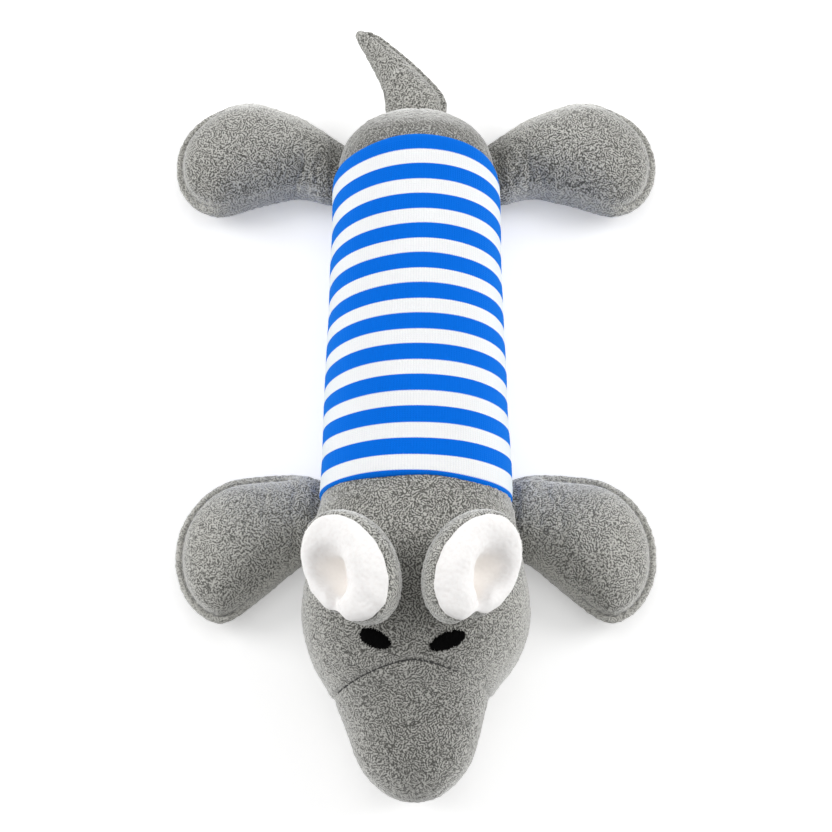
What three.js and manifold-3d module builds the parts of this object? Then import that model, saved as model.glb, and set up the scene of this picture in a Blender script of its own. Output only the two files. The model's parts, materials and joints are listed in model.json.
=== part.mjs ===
// Squeaky plush dog toy: a long-snouted animal lying on its belly in a striped knit sleeve.
// Millimetres, +Z up, the head towards -Y and the tail towards +Y, resting on z = 0.

import * as THREE from 'three';
import { mergeVertices } from 'three/addons/utils/BufferGeometryUtils.js';
import Module from 'manifold-3d';

const wasm = await Module();
wasm.setup();

// Fabrics and fits
const PLUSH = 2.4;
const KNIT = 1.4;
const FLEECE = 2.6;
const SEAM_GAP = 0.4;
const SEAM_ALLOWANCE = 6;
const FLOOR_CUT = 0.5;

// Torso, from the neck seam back to the rump
const SLEEVE_LENGTH = 111.5;
const RUMP_LENGTH = 20.6;
const RUMP_TIP_HEIGHT = 16;
const NECK_WIDTH = 60.4;
const NECK_HEIGHT = 54.5;
const WAIST_PLACE = 62;
const WAIST_WIDTH = 56;
const WAIST_HEIGHT = 53;
const HIP_WIDTH = 51.2;
const HIP_HEIGHT = 50.5;

// Head, from the neck seam forward to the nose
const NECK_SETBACK = 12;
const HEAD_LENGTH = 94.5;
const CHEEK_PLACE = 38;
const CHEEK_WIDTH = 70.8;
const CHEEK_HEIGHT = 57;
const BROW_PLACE = 52;
const BROW_WIDTH = 64.6;
const BROW_HEIGHT = 51.5;
const MUZZLE_PLACE = 65.5;
const MUZZLE_WIDTH = 48.6;
const MUZZLE_HEIGHT = 41.5;
const SNOUT_PLACE = 80;
const SNOUT_WIDTH = 37.8;
const SNOUT_HEIGHT = 33;
const SNOUT_UNDERSIDE = 1.5;
const NOSE_WIDTH = 31;
const NOSE_HEIGHT = 28;
const NOSE_UNDERSIDE = 5;
const NOSE_TIP_HEIGHT = 15;
const NOSE_ROUND = 16;

// Face seam, an arch across the top of the head
const FACE_SEAM_PLACE = 57;
const FACE_SEAM_SPAN = 42;
const FACE_SEAM_DROP = 7;
const FACE_THREAD = 1.2;

// Embroidered eyes: place along and across the head, and the slant of each
const EYE_LENGTH = 9.4;
const EYE_WIDTH = 4.6;
const EYE_RAISE = 1.2;
const LEFT_EYE = { along: 51.2, across: -12.3, slant: 27 };
const RIGHT_EYE = { along: 51.8, across: 9.5, slant: -20 };

// Ears: an oval cup on a gathered foot, with a cleft in front and its length turned inward
const EAR_WIDTH = 25.4;
const EAR_LENGTH = 36;
const EAR_TURN = 33;
const EAR_DEPTH = 15;
const EAR_FOOT = 4;
const EAR_FOOT_LENGTH = 20;
const EAR_CLEFT = 3;
const EAR_CLEFT_ANGLE = 24;
const EAR_BEAD = 2;
const EAR_PLACE = 34.4;
const EAR_LEAN = 24;
const LEFT_EAR_ACROSS = -13.2;
const RIGHT_EAR_ACROSS = 10.8;

// Limbs: flat paddles on a sewn root, measured outward from the root's hinge line
const LIMB_SEAM_HEIGHT = 8;
const LIMB_ROOT_RADIUS = 7;
const LIMB_RISE = 12;
const LIMB_PINCH = 1.15;
const LIMB_ROOT_FULLNESS = 6;
const FRONT_LIMB_PLACE = -3.5;
const FRONT_LIMB = {
  reach: 45,
  rootWidth: 27,
  rootGap: 0.8,
  anklePlace: 6,
  ankleWidth: 34,
  ankleSweep: 2.5,
  palmPlace: 20.5,
  palmWidth: 48.2,
  palmSweep: 10.4,
  tipSweep: 11.4,
  tipRound: 22,
};
const REAR_LIMB_SETBACK = 4;
const REAR_LIMB = {
  reach: 51.3,
  rootWidth: 25.4,
  rootGap: SEAM_GAP,
  anklePlace: 13.5,
  ankleWidth: 31.2,
  ankleSweep: -4.7,
  palmPlace: 31.5,
  palmWidth: 42,
  palmSweep: -4.2,
  tipSweep: -4.2,
  tipRound: 26,
};
const REAR_RIGHT_YAW = -1.5;

// Tail: a curved horn that leans to the left
const TAIL_LENGTH = 24.4;
const TAIL_ROOT_RADIUS = 7;
const TAIL_ROOT_FULLNESS = 4;
const TAIL_ROOT_WIDTH = 20;
const TAIL_MIDDLE_WIDTH = 15;
const TAIL_TIP_WIDTH = 7;
const TAIL_MIDDLE_LEAN = 7.8;
const TAIL_LEAN = 18.2;
const TAIL_TIP_RISE = 4;
const TAIL_TIP_ROUND = 5;

// Squeaker: a round bellows lying flat in the middle of the stuffing
const SQUEAKER_DIAMETER = 36;
const SQUEAKER_HEIGHT = 22;
const SQUEAKER_WALL = 1.2;
const SQUEAKER_CAP = 6;
const SQUEAKER_FOLDS = 3;
const SQUEAKER_FOLD_DEPTH = 2.2;
const REED_PLUG_DIAMETER = 9;
const REED_PLUG_FLANGE = 14;
const REED_PLUG_FLANGE_HEIGHT = 1.6;
const REED_PLUG_HEIGHT = 8;
const REED_BORE = 6;
const REED_WIDTH = 3.6;
const REED_THICKNESS = 0.5;

// Fineness of the soft forms
const BODY_SIDES = 22;
const TORSO_RINGS = 8;
const HEAD_RINGS = 10;
const LIMB_SIDES = 14;
const LIMB_RINGS = 8;
const TAIL_SIDES = 12;
const TAIL_RINGS = 8;
const EAR_SIDES = 16;
const EAR_STEPS = 4;
const BEAD_STEPS = 4;
const FOOT_SIDES = 10;
const FOOT_RINGS = 6;
const BALL_SIDES = 24;
const BALL_RINGS = 8;
const ROUND_SIDES = 16;
const BLOCK = 400;

const LOOKS = {
  plush: { color: 0x979796, roughness: 1, metalness: 0 },
  fleece: { color: 0xf1efee, roughness: 1, metalness: 0 },
  knit: { color: 0x1173e6, roughness: 0.9, metalness: 0 },
  stuffing: { color: 0xf7f7f4, roughness: 1, metalness: 0 },
  thread: { color: 0x17171a, roughness: 0.7, metalness: 0 },
  vinyl: { color: 0xe9e6dc, roughness: 0.45, metalness: 0 },
  reed: { color: 0xd9d3c0, roughness: 0.35, metalness: 0 },
};

// Solids: closed meshes, and the cuts and joins between them

function solidOf(geometry) {
  const bare = geometry.clone();
  bare.deleteAttribute('normal');
  bare.deleteAttribute('uv');
  const merged = mergeVertices(bare, 1e-4);
  return new wasm.Manifold(new wasm.Mesh({
    numProp: 3,
    vertProperties: new Float32Array(merged.attributes.position.array),
    triVerts: new Uint32Array(merged.index.array),
  }));
}

function geometryOf(solid) {
  const mesh = solid.getMesh();
  const geometry = new THREE.BufferGeometry();
  geometry.setAttribute('position', new THREE.BufferAttribute(mesh.vertProperties, 3));
  geometry.setIndex(new THREE.BufferAttribute(mesh.triVerts, 1));
  geometry.computeVertexNormals();
  return geometry;
}

// A block that fills the space between two corners
function block(low, high) {
  const size = new THREE.Vector3().subVectors(high, low);
  const middle = new THREE.Vector3().addVectors(low, high).multiplyScalar(0.5);
  const geometry = new THREE.BoxGeometry(size.x, size.y, size.z);
  return solidOf(geometry.translate(middle.x, middle.y, middle.z));
}

// All the space above a height, and all the space past a place along x or y
const above = (height) => block(
  new THREE.Vector3(-BLOCK, -BLOCK, height),
  new THREE.Vector3(BLOCK, BLOCK, BLOCK),
);
const past = (along) => block(
  new THREE.Vector3(along, -BLOCK, -BLOCK),
  new THREE.Vector3(BLOCK, BLOCK, BLOCK),
);
const beside = (across) => block(
  new THREE.Vector3(-BLOCK, across, -BLOCK),
  new THREE.Vector3(BLOCK, BLOCK, BLOCK),
);

// A solid turned about a vertical axis at the origin, from radius and height pairs
function turned(pairs) {
  const outline = pairs.map(([radius, height]) => new THREE.Vector2(radius, height));
  const lathe = new THREE.LatheGeometry([...outline, outline[0]], ROUND_SIDES);
  return solidOf(lathe.rotateX(Math.PI / 2));
}

// A closed skin over rings of points, with a pole at each end
function skinOver(rings, firstPole, lastPole) {
  const sides = rings[0].length;
  const points = [firstPole, ...rings.flat(), lastPole];
  const last = points.length - 1;
  const faces = [];
  for (let side = 0; side < sides; side += 1) {
    const next = (side + 1) % sides;
    faces.push(0, 1 + next, 1 + side);
    for (let ring = 0; ring < rings.length - 1; ring += 1) {
      const here = 1 + ring * sides;
      const there = here + sides;
      faces.push(here + side, here + next, there + next);
      faces.push(here + side, there + next, there + side);
    }
    const end = last - sides;
    faces.push(last, end + side, end + next);
  }
  const geometry = new THREE.BufferGeometry().setFromPoints(points);
  geometry.setIndex(faces);
  return solidOf(geometry);
}

// Soft forms: swelling shapes along local x, y across them and z up

// Smooth curve through [place, value] pairs, read by place
function curveThrough(pairs) {
  const last = pairs.length - 1;
  const slopes = pairs.map((pair, i) => {
    const before = pairs[Math.max(i - 1, 0)];
    const after = pairs[Math.min(i + 1, last)];
    return (after[1] - before[1]) / (after[0] - before[0]);
  });
  return (place) => {
    let i = 0;
    while (i < last - 1 && place > pairs[i + 1][0]) i += 1;
    const span = pairs[i + 1][0] - pairs[i][0];
    const t = THREE.MathUtils.clamp((place - pairs[i][0]) / span, 0, 1);
    const ease = t * t * (3 - 2 * t);
    const lift = t * (1 - t) * ((1 - t) * slopes[i] - t * slopes[i + 1]) * span;
    return pairs[i][1] + (pairs[i + 1][1] - pairs[i][1]) * ease + lift;
  };
}

// Share of the full size at a distance from a rounded end
function roundedEnd(distance, length, fullness) {
  if (length <= 0) return 1;
  const share = THREE.MathUtils.clamp(1 - distance / length, 0, 1);
  return (1 - share ** fullness) ** (1 / fullness);
}

class SoftForm {
  constructor(shape) {
    Object.assign(this, { startRound: 0, startFullness: 2, pinch: 1, fullness: 2.1 }, shape);
  }

  // Section at a place along the form, drawn in by the inset on every side
  section(along, inset) {
    const fromStart = along - this.start - (this.startRound > 0 ? inset : 0);
    const toEnd = this.end - inset - along;
    const endShare = roundedEnd(toEnd, this.endRound - inset, this.fullness);
    const startHigh = roundedEnd(fromStart, this.startRound - inset, 2);
    const startWide = roundedEnd(fromStart, this.startRound - inset, this.startFullness);
    const mix = (value, endValue) => endValue + (value - endValue) * endShare;
    return {
      middle: mix(this.middle(along), this.middle(this.end - inset)),
      half: (this.width(along) / 2 - inset) * endShare * startWide,
      seam: mix(this.seam(along), this.endHeight),
      rise: (this.rise(along) - inset) * endShare * startHigh,
      drop: (this.drop(along) - inset) * endShare * startHigh,
    };
  }

  ring(along, inset) {
    const { middle, half, seam, rise, drop } = this.section(along, inset);
    return Array.from({ length: this.sides }, (_, side) => {
      const angle = (2 * Math.PI * side) / this.sides;
      const bend = (value) => Math.sign(value) * Math.abs(value) ** this.pinch;
      const height = Math.sin(angle) > 0 ? rise : drop;
      return new THREE.Vector3(
        along,
        middle + half * bend(Math.cos(angle)),
        seam + height * bend(Math.sin(angle)),
      );
    });
  }

  // The closed form, drawn in by the inset; rings crowd towards its rounded ends
  solid(inset) {
    const first = this.start + (this.startRound > 0 ? inset : 0);
    const last = this.end - inset;
    const poles = [first, last].map((along) => {
      const { middle, seam } = this.section(along, inset);
      return new THREE.Vector3(along, middle, seam);
    });
    const rings = [];
    const capped = this.startRound > 0 ? 1 : 0;
    for (let step = capped; step < this.rings; step += 1) {
      const turn = (Math.PI / 2) * (step / this.rings);
      const share = capped ? Math.sin(turn) ** 2 : Math.sin(turn);
      rings.push(this.ring(THREE.MathUtils.lerp(first, last, share), inset));
    }
    return skinOver(rings, poles[0], poles[1]);
  }

  // A layer of cloth lying inside the form's surface
  skin(thickness) {
    return this.solid(0).subtract(this.solid(thickness));
  }

  // The point of the upper surface above a place, and the direction square to it
  topAt(along, across) {
    const { middle, half, seam, rise } = this.section(along, 0);
    const share = Math.min(Math.abs(across - middle) / half, 1);
    const height = rise * (1 - share ** (2 / this.pinch)) ** (this.pinch / 2);
    return new THREE.Vector3(along, across, seam + height);
  }

  squareTo(along, across) {
    const step = 0.5;
    const ahead = this.topAt(along + step, across).sub(this.topAt(along - step, across));
    const aside = this.topAt(along, across + step).sub(this.topAt(along, across - step));
    return ahead.cross(aside).normalize();
  }
}

// Neck ball: the head's rounded back end, which turns in the sleeve's mouth
const neckMiddle = (NECK_HEIGHT - FLOOR_CUT) / 2;
const mouthWall = KNIT + 2 * SEAM_GAP;
const mouthHalfHeight = (NECK_HEIGHT + FLOOR_CUT) / 2 - mouthWall;
const mouthHalfWidth = NECK_WIDTH / 2 - mouthWall;
const neckRadius = Math.hypot(mouthHalfHeight, NECK_SETBACK);
const neckHalfWidth = mouthHalfWidth * (neckRadius / mouthHalfHeight);

function neckBall(along, growth) {
  const ball = new THREE.SphereGeometry(1, BALL_SIDES, BALL_RINGS);
  ball.scale(neckRadius + growth, neckHalfWidth + growth, neckRadius + growth);
  return solidOf(ball.translate(along, 0, neckMiddle));
}

const torsoTop = curveThrough([
  [0, NECK_HEIGHT],
  [WAIST_PLACE, WAIST_HEIGHT],
  [SLEEVE_LENGTH, HIP_HEIGHT],
]);
const torsoForm = new SoftForm({
  start: 0,
  end: SLEEVE_LENGTH + RUMP_LENGTH,
  endRound: RUMP_LENGTH,
  endHeight: RUMP_TIP_HEIGHT,
  middle: () => 0,
  width: curveThrough([[0, NECK_WIDTH], [WAIST_PLACE, WAIST_WIDTH], [SLEEVE_LENGTH, HIP_WIDTH]]),
  seam: (along) => (torsoTop(along) - FLOOR_CUT) / 2,
  rise: (along) => (torsoTop(along) + FLOOR_CUT) / 2,
  drop: (along) => (torsoTop(along) + FLOOR_CUT) / 2,
  sides: BODY_SIDES,
  rings: TORSO_RINGS,
});

const headTop = curveThrough([
  [NECK_SETBACK, neckMiddle + neckRadius],
  [CHEEK_PLACE, CHEEK_HEIGHT],
  [BROW_PLACE, BROW_HEIGHT],
  [MUZZLE_PLACE, MUZZLE_HEIGHT],
  [SNOUT_PLACE, SNOUT_HEIGHT],
  [HEAD_LENGTH, NOSE_HEIGHT],
]);
const headUnderside = curveThrough([
  [NECK_SETBACK, neckMiddle - neckRadius],
  [CHEEK_PLACE, -FLOOR_CUT],
  [MUZZLE_PLACE, -FLOOR_CUT],
  [SNOUT_PLACE, SNOUT_UNDERSIDE],
  [HEAD_LENGTH, NOSE_UNDERSIDE],
]);
const headForm = new SoftForm({
  start: NECK_SETBACK,
  end: HEAD_LENGTH,
  endRound: NOSE_ROUND,
  endHeight: NOSE_TIP_HEIGHT,
  middle: () => 0,
  width: curveThrough([
    [NECK_SETBACK, 2 * neckHalfWidth],
    [CHEEK_PLACE, CHEEK_WIDTH],
    [BROW_PLACE, BROW_WIDTH],
    [MUZZLE_PLACE, MUZZLE_WIDTH],
    [SNOUT_PLACE, SNOUT_WIDTH],
    [HEAD_LENGTH, NOSE_WIDTH],
  ]),
  seam: (along) => (headTop(along) + headUnderside(along)) / 2,
  rise: (along) => (headTop(along) - headUnderside(along)) / 2,
  drop: (along) => (headTop(along) - headUnderside(along)) / 2,
  sides: BODY_SIDES,
  rings: HEAD_RINGS,
});

// Pieces are added to their group by name, each with its own material
function add(group, name, solid, look) {
  const mesh = new THREE.Mesh(geometryOf(solid), new THREE.MeshStandardMaterial(LOOKS[look]));
  mesh.name = name;
  group.add(mesh);
}

// Torso: sleeve, rump and the stuffing round the squeaker
function buildTorso(toy) {
  const torso = new THREE.Group();
  torso.rotation.z = Math.PI / 2;
  toy.add(torso);

  const floor = above(0);
  const socket = neckBall(-NECK_SETBACK, SEAM_GAP);
  const rump = past(SLEEVE_LENGTH + SEAM_GAP);
  const sleeve = torsoForm.skin(KNIT).intersect(floor).subtract(past(SLEEVE_LENGTH));
  add(torso, 'striped_sleeve', sleeve, 'knit');

  const rumpSkin = torsoForm.skin(PLUSH).intersect(floor).intersect(rump);
  add(torso, 'rump_panel_left', rumpSkin.intersect(beside(SEAM_GAP / 2)), 'plush');
  add(torso, 'rump_panel_right', rumpSkin.subtract(beside(-SEAM_GAP / 2)), 'plush');

  const pocket = squeakerPocket();
  const stuffing = torsoForm.solid(PLUSH + SEAM_GAP).subtract(socket).subtract(pocket);
  add(torso, 'back_filling', stuffing.intersect(above(squeakerMiddle + SEAM_GAP / 2)), 'stuffing');
  add(torso, 'belly_filling', stuffing.subtract(above(squeakerMiddle - SEAM_GAP / 2)), 'stuffing');
}

// Squeaker, turned about the vertical line through its middle
const squeakerPlace = SLEEVE_LENGTH / 2;
const squeakerMiddle = torsoForm.section(squeakerPlace, 0).seam;
const squeakerRadius = SQUEAKER_DIAMETER / 2;
const bellowsHalf = SQUEAKER_HEIGHT / 2 - SQUEAKER_CAP;

function squeakerPocket() {
  const radius = squeakerRadius + SEAM_GAP;
  const top = SQUEAKER_HEIGHT / 2 + SEAM_GAP;
  const drum = turned([[0, -top], [radius, -top], [radius, top], [0, top]]);
  const recess = REED_PLUG_FLANGE / 2 + SEAM_GAP;
  const depth = top + REED_PLUG_FLANGE_HEIGHT + SEAM_GAP;
  const seat = turned([[0, -depth], [recess, -depth], [recess, 0], [0, 0]]);
  return drum.add(seat).translate([squeakerPlace, 0, squeakerMiddle]);
}

// A cap of the squeaker, open towards its middle, with a hole of the given radius
function squeakerCap(hole) {
  const top = SQUEAKER_HEIGHT / 2;
  const inner = squeakerRadius - SQUEAKER_WALL;
  return turned([
    [hole, top - SQUEAKER_WALL],
    [inner, top - SQUEAKER_WALL],
    [inner, bellowsHalf],
    [squeakerRadius, bellowsHalf],
    [squeakerRadius, top - SQUEAKER_WALL],
    [inner, top],
    [hole, top],
  ]);
}

function squeakerBellows() {
  const height = 2 * (bellowsHalf - SEAM_GAP);
  const outer = [];
  const inner = [];
  for (let turn = 0; turn <= 2 * SQUEAKER_FOLDS; turn += 1) {
    const level = -height / 2 + (height * turn) / (2 * SQUEAKER_FOLDS);
    const radius = squeakerRadius - (turn % 2) * SQUEAKER_FOLD_DEPTH;
    outer.push([radius, level]);
    inner.unshift([radius - SQUEAKER_WALL, level]);
  }
  return turned([...outer, ...inner]);
}

function reedPlug() {
  const under = -SQUEAKER_HEIGHT / 2 - SEAM_GAP;
  const top = under - REED_PLUG_FLANGE_HEIGHT + REED_PLUG_HEIGHT;
  const stem = REED_PLUG_DIAMETER / 2;
  return turned([
    [REED_BORE / 2, under - REED_PLUG_FLANGE_HEIGHT],
    [REED_PLUG_FLANGE / 2, under - REED_PLUG_FLANGE_HEIGHT],
    [REED_PLUG_FLANGE / 2, under],
    [stem, under],
    [stem, top],
    [REED_BORE / 2, top],
  ]);
}

// The reed stands in the plug's bore, a little narrower than it
function reed() {
  const low = -SQUEAKER_HEIGHT / 2 - REED_PLUG_FLANGE_HEIGHT;
  const height = REED_PLUG_HEIGHT - SEAM_GAP;
  const reach = Math.sqrt((REED_BORE / 2) ** 2 - (REED_WIDTH / 2) ** 2) - SEAM_GAP;
  return block(
    new THREE.Vector3(reach - REED_THICKNESS, -REED_WIDTH / 2, low),
    new THREE.Vector3(reach, REED_WIDTH / 2, low + height),
  );
}

function buildSqueaker(toy) {
  const squeaker = new THREE.Group();
  squeaker.position.set(0, squeakerPlace, squeakerMiddle);
  toy.add(squeaker);
  const crown = squeakerCap(0);
  const base = squeakerCap(REED_PLUG_DIAMETER / 2 + SEAM_GAP).mirror([0, 0, 1]);
  add(squeaker, 'squeaker_crown', crown, 'vinyl');
  add(squeaker, 'squeaker_base', base, 'vinyl');
  add(squeaker, 'squeaker_bellows', squeakerBellows(), 'vinyl');
  add(squeaker, 'squeaker_reed_plug', reedPlug(), 'reed');
  add(squeaker, 'squeaker_reed', reed(), 'reed');
}

// Head: three plush panels over their stuffing, with the face on top

// The space in front of the face seam, moved forward by a shift
function muzzleSide(shift) {
  const reach = CHEEK_WIDTH;
  const bow = FACE_SEAM_DROP * (reach / (FACE_SEAM_SPAN / 2)) ** 2;
  const seam = FACE_SEAM_PLACE + shift;
  const shape = new THREE.Shape();
  shape.moveTo(seam + bow, -reach);
  shape.quadraticCurveTo(seam - bow, 0, seam + bow, reach);
  shape.lineTo(BLOCK, reach);
  shape.lineTo(BLOCK, -reach);
  const prism = new THREE.ExtrudeGeometry(shape, {
    depth: BLOCK,
    bevelEnabled: false,
    curveSegments: EAR_SIDES,
  });
  return solidOf(prism);
}

function eyePatch({ along, across, slant }) {
  const oval = new THREE.Shape();
  oval.absellipse(0, 0, EYE_WIDTH / 2, EYE_LENGTH / 2, 0, 2 * Math.PI, false, 0);
  const prism = new THREE.ExtrudeGeometry(oval, {
    depth: BLOCK,
    bevelEnabled: false,
    curveSegments: EAR_SIDES,
  });
  prism.rotateZ(THREE.MathUtils.degToRad(-slant));
  prism.translate(along, across, neckMiddle);
  const layer = headForm.solid(-SEAM_GAP - EYE_RAISE).subtract(headForm.solid(-SEAM_GAP));
  return layer.intersect(solidOf(prism));
}

function faceThread() {
  const stitches = 6;
  const path = [];
  for (let stitch = 0; stitch <= stitches; stitch += 1) {
    const share = (2 * stitch) / stitches - 1;
    const across = (share * FACE_SEAM_SPAN) / 2;
    const along = FACE_SEAM_PLACE + FACE_SEAM_DROP * share ** 2;
    const lift = headForm.squareTo(along, across).multiplyScalar(SEAM_GAP + FACE_THREAD / 2);
    path.push(headForm.topAt(along, across).add(lift));
  }
  const round = new THREE.Shape();
  round.absarc(0, 0, FACE_THREAD / 2, 0, 2 * Math.PI, false);
  const thread = new THREE.ExtrudeGeometry(round, {
    steps: 2 * stitches,
    curveSegments: 6,
    extrudePath: new THREE.CatmullRomCurve3(path),
  });
  return solidOf(thread).subtract(headForm.solid(-SEAM_GAP));
}

function buildHead(toy) {
  const head = new THREE.Group();
  head.rotation.z = -Math.PI / 2;
  toy.add(head);

  const whole = (inset) => {
    const rounded = headForm.solid(inset).add(neckBall(NECK_SETBACK, -inset));
    return rounded.intersect(above(inset));
  };
  const skin = whole(0).subtract(whole(PLUSH)).intersect(past(-SEAM_ALLOWANCE));
  const upper = skin.intersect(above(LIMB_SEAM_HEIGHT + SEAM_GAP / 2));
  const chin = skin.subtract(above(LIMB_SEAM_HEIGHT - SEAM_GAP / 2));
  add(head, 'forehead_panel', upper.subtract(muzzleSide(-SEAM_GAP)), 'plush');
  add(head, 'muzzle_panel', upper.intersect(muzzleSide(0)), 'plush');
  add(head, 'chin_panel', chin, 'plush');
  add(head, 'head_filling', whole(PLUSH + SEAM_GAP), 'stuffing');
  add(head, 'left_eye', eyePatch(LEFT_EYE), 'thread');
  add(head, 'right_eye', eyePatch(RIGHT_EYE), 'thread');
  add(head, 'face_seam_thread', faceThread(), 'thread');
}

// Ears: a plush cup on a foot, lined with fleece whose edge rolls over the rim

// One ear's cup: turn is that of its length from front to back, in degrees
class EarCup {
  constructor(turn) {
    this.turn = THREE.MathUtils.degToRad(turn);
  }

  // A ring of the cup's oval at a radius share and height, drawn in at the cleft
  ring(inset, share, height) {
    return Array.from({ length: EAR_SIDES }, (_, side) => {
      const angle = (2 * Math.PI * side) / EAR_SIDES;
      const front = Math.atan2(Math.sin(angle + this.turn), Math.cos(angle + this.turn));
      const away = THREE.MathUtils.radToDeg(front) / EAR_CLEFT_ANGLE;
      const cleft = EAR_CLEFT * share ** 2 * Math.exp(-(away ** 2));
      const point = new THREE.Vector3(
        ((EAR_LENGTH / 2 - inset) * share - cleft) * Math.cos(angle),
        ((EAR_WIDTH / 2 - inset) * share - cleft) * Math.sin(angle),
        height,
      );
      return point.applyAxisAngle(new THREE.Vector3(0, 0, 1), this.turn);
    });
  }

  // Rings up one side of the cup's wall, from near its bottom to its rim
  wall(inset) {
    const rings = [];
    for (let step = 1; step <= EAR_STEPS; step += 1) {
      const angle = (Math.PI / 2) * (step / EAR_STEPS);
      const height = EAR_DEPTH - (EAR_DEPTH - inset) * Math.cos(angle);
      rings.push(this.ring(inset, Math.sin(angle), height));
    }
    return rings;
  }

  bottom(inset) {
    return new THREE.Vector3(0, 0, inset);
  }

  back() {
    const inner = this.wall(PLUSH).reverse();
    const cup = skinOver([...this.wall(0), ...inner], this.bottom(0), this.bottom(PLUSH));
    const foot = new THREE.SphereGeometry(1, FOOT_SIDES, FOOT_RINGS).rotateZ(Math.PI / 2);
    foot.scale(EAR_FOOT_LENGTH / 2, EAR_FOOT, EAR_FOOT);
    return cup.add(solidOf(foot).subtract(above(PLUSH / 2)));
  }

  lining() {
    const outside = PLUSH + SEAM_GAP;
    const inside = outside + FLEECE;
    const bead = [];
    for (let step = 0; step <= BEAD_STEPS; step += 1) {
      const angle = (Math.PI * step) / BEAD_STEPS;
      const middle = inside / 2;
      const inset = middle - middle * Math.cos(angle);
      const height = EAR_DEPTH + SEAM_GAP + EAR_BEAD * (1 + Math.sin(angle));
      bead.push(this.ring(inset, 1, height));
    }
    const ledge = this.ring(0, 1, EAR_DEPTH + SEAM_GAP);
    const lip = this.ring(outside, 1, EAR_DEPTH + SEAM_GAP);
    const inner = this.wall(inside).reverse();
    const rings = [...this.wall(outside), lip, ledge, ...bead, ...inner];
    return skinOver(rings, this.bottom(outside), this.bottom(inside));
  }
}

// side is -1 for the left of the toy and 1 for the right
function buildEar(toy, name, across, side) {
  const foot = headForm.topAt(EAR_PLACE, across);
  const lift = headForm.squareTo(EAR_PLACE, across).multiplyScalar(EAR_FOOT + SEAM_GAP);
  foot.add(lift);
  const ear = new THREE.Group();
  ear.position.set(foot.y, -foot.x, foot.z);
  ear.rotation.set(0, THREE.MathUtils.degToRad(side * EAR_LEAN), -Math.PI / 2, 'YXZ');
  toy.add(ear);
  const cup = new EarCup(-side * EAR_TURN);
  add(ear, `${name}_back`, cup.back(), 'plush');
  add(ear, `${name}_lining`, cup.lining(), 'fleece');
}

// Limbs: two panels over a flat filling, lying on the floor

function limbForm(limb, side) {
  const { reach, anklePlace, palmPlace } = limb;
  const sweep = [[0, 0], [anklePlace, limb.ankleSweep], [palmPlace, limb.palmSweep]];
  const swept = curveThrough([...sweep, [reach, limb.tipSweep]]);
  const root = LIMB_ROOT_RADIUS;
  const floor = LIMB_SEAM_HEIGHT + FLOOR_CUT;
  return new SoftForm({
    start: -root,
    startRound: root,
    startFullness: LIMB_ROOT_FULLNESS,
    end: reach,
    endRound: limb.tipRound,
    endHeight: 0,
    fullness: 2,
    middle: (along) => side * swept(along),
    width: curveThrough([
      [0, limb.rootWidth],
      [anklePlace, limb.ankleWidth],
      [palmPlace, limb.palmWidth],
      [reach, limb.palmWidth],
    ]),
    seam: () => 0,
    rise: curveThrough([[0, root], [palmPlace, LIMB_RISE], [reach, LIMB_RISE]]),
    drop: curveThrough([[0, root], [palmPlace, floor], [reach, floor]]),
    pinch: LIMB_PINCH,
    sides: LIMB_SIDES,
    rings: LIMB_RINGS,
  });
}

// Section of the body at a place behind the neck seam, or ahead of it where negative
function bodySection(place) {
  if (place >= 0) return torsoForm.section(place, 0);
  if (place < -NECK_SETBACK) return headForm.section(-place, 0);
  const share = Math.sqrt(1 - ((place + NECK_SETBACK) / neckRadius) ** 2);
  return { half: neckHalfWidth * share, seam: neckMiddle, drop: neckRadius * share };
}

// Distance from the midplane at which a roll lies against the flank of a section
function rollBeside({ half, seam, drop }, reach) {
  const rootAt = (angle) => {
    const square = new THREE.Vector2(Math.cos(angle) / half, Math.sin(angle) / drop).setLength(reach);
    return square.add(new THREE.Vector2(half * Math.cos(angle), seam + drop * Math.sin(angle)));
  };
  let low = -Math.PI / 2;
  let high = 0;
  for (let halving = 0; halving < 40; halving += 1) {
    const angle = (low + high) / 2;
    if (rootAt(angle).y < LIMB_SEAM_HEIGHT) low = angle;
    else high = angle;
  }
  return rootAt(high).x;
}

// Distance of a limb's hinge line from the midplane, with its whole root a gap from the body
function hingeBeside(limb, place, gap) {
  const stations = 8;
  let hinge = 0;
  for (let station = 1; station < stations; station += 1) {
    const share = (2 * station) / stations - 1;
    const girth = (1 - Math.abs(share) ** (2 / LIMB_PINCH)) ** (LIMB_PINCH / 2);
    const section = bodySection(place + (share * limb.rootWidth) / 2);
    hinge = Math.max(hinge, rollBeside(section, LIMB_ROOT_RADIUS * girth + gap));
  }
  return hinge;
}

// side is -1 for the left of the toy and 1 for the right
function buildLimb(toy, name, limb, side, place, yaw) {
  const group = new THREE.Group();
  const hinge = hingeBeside(limb, place, limb.rootGap);
  group.position.set(side * hinge, place, LIMB_SEAM_HEIGHT);
  group.rotation.z = (side < 0 ? Math.PI : 0) + THREE.MathUtils.degToRad(yaw);
  toy.add(group);
  const form = limbForm(limb, -side);
  const skin = form.skin(PLUSH).intersect(above(-LIMB_SEAM_HEIGHT));
  add(group, `${name}_upper_panel`, skin.intersect(above(SEAM_GAP / 2)), 'plush');
  add(group, `${name}_lower_panel`, skin.subtract(above(-SEAM_GAP / 2)), 'plush');
  add(group, `${name}_filling`, form.solid(PLUSH + SEAM_GAP), 'stuffing');
}

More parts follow.
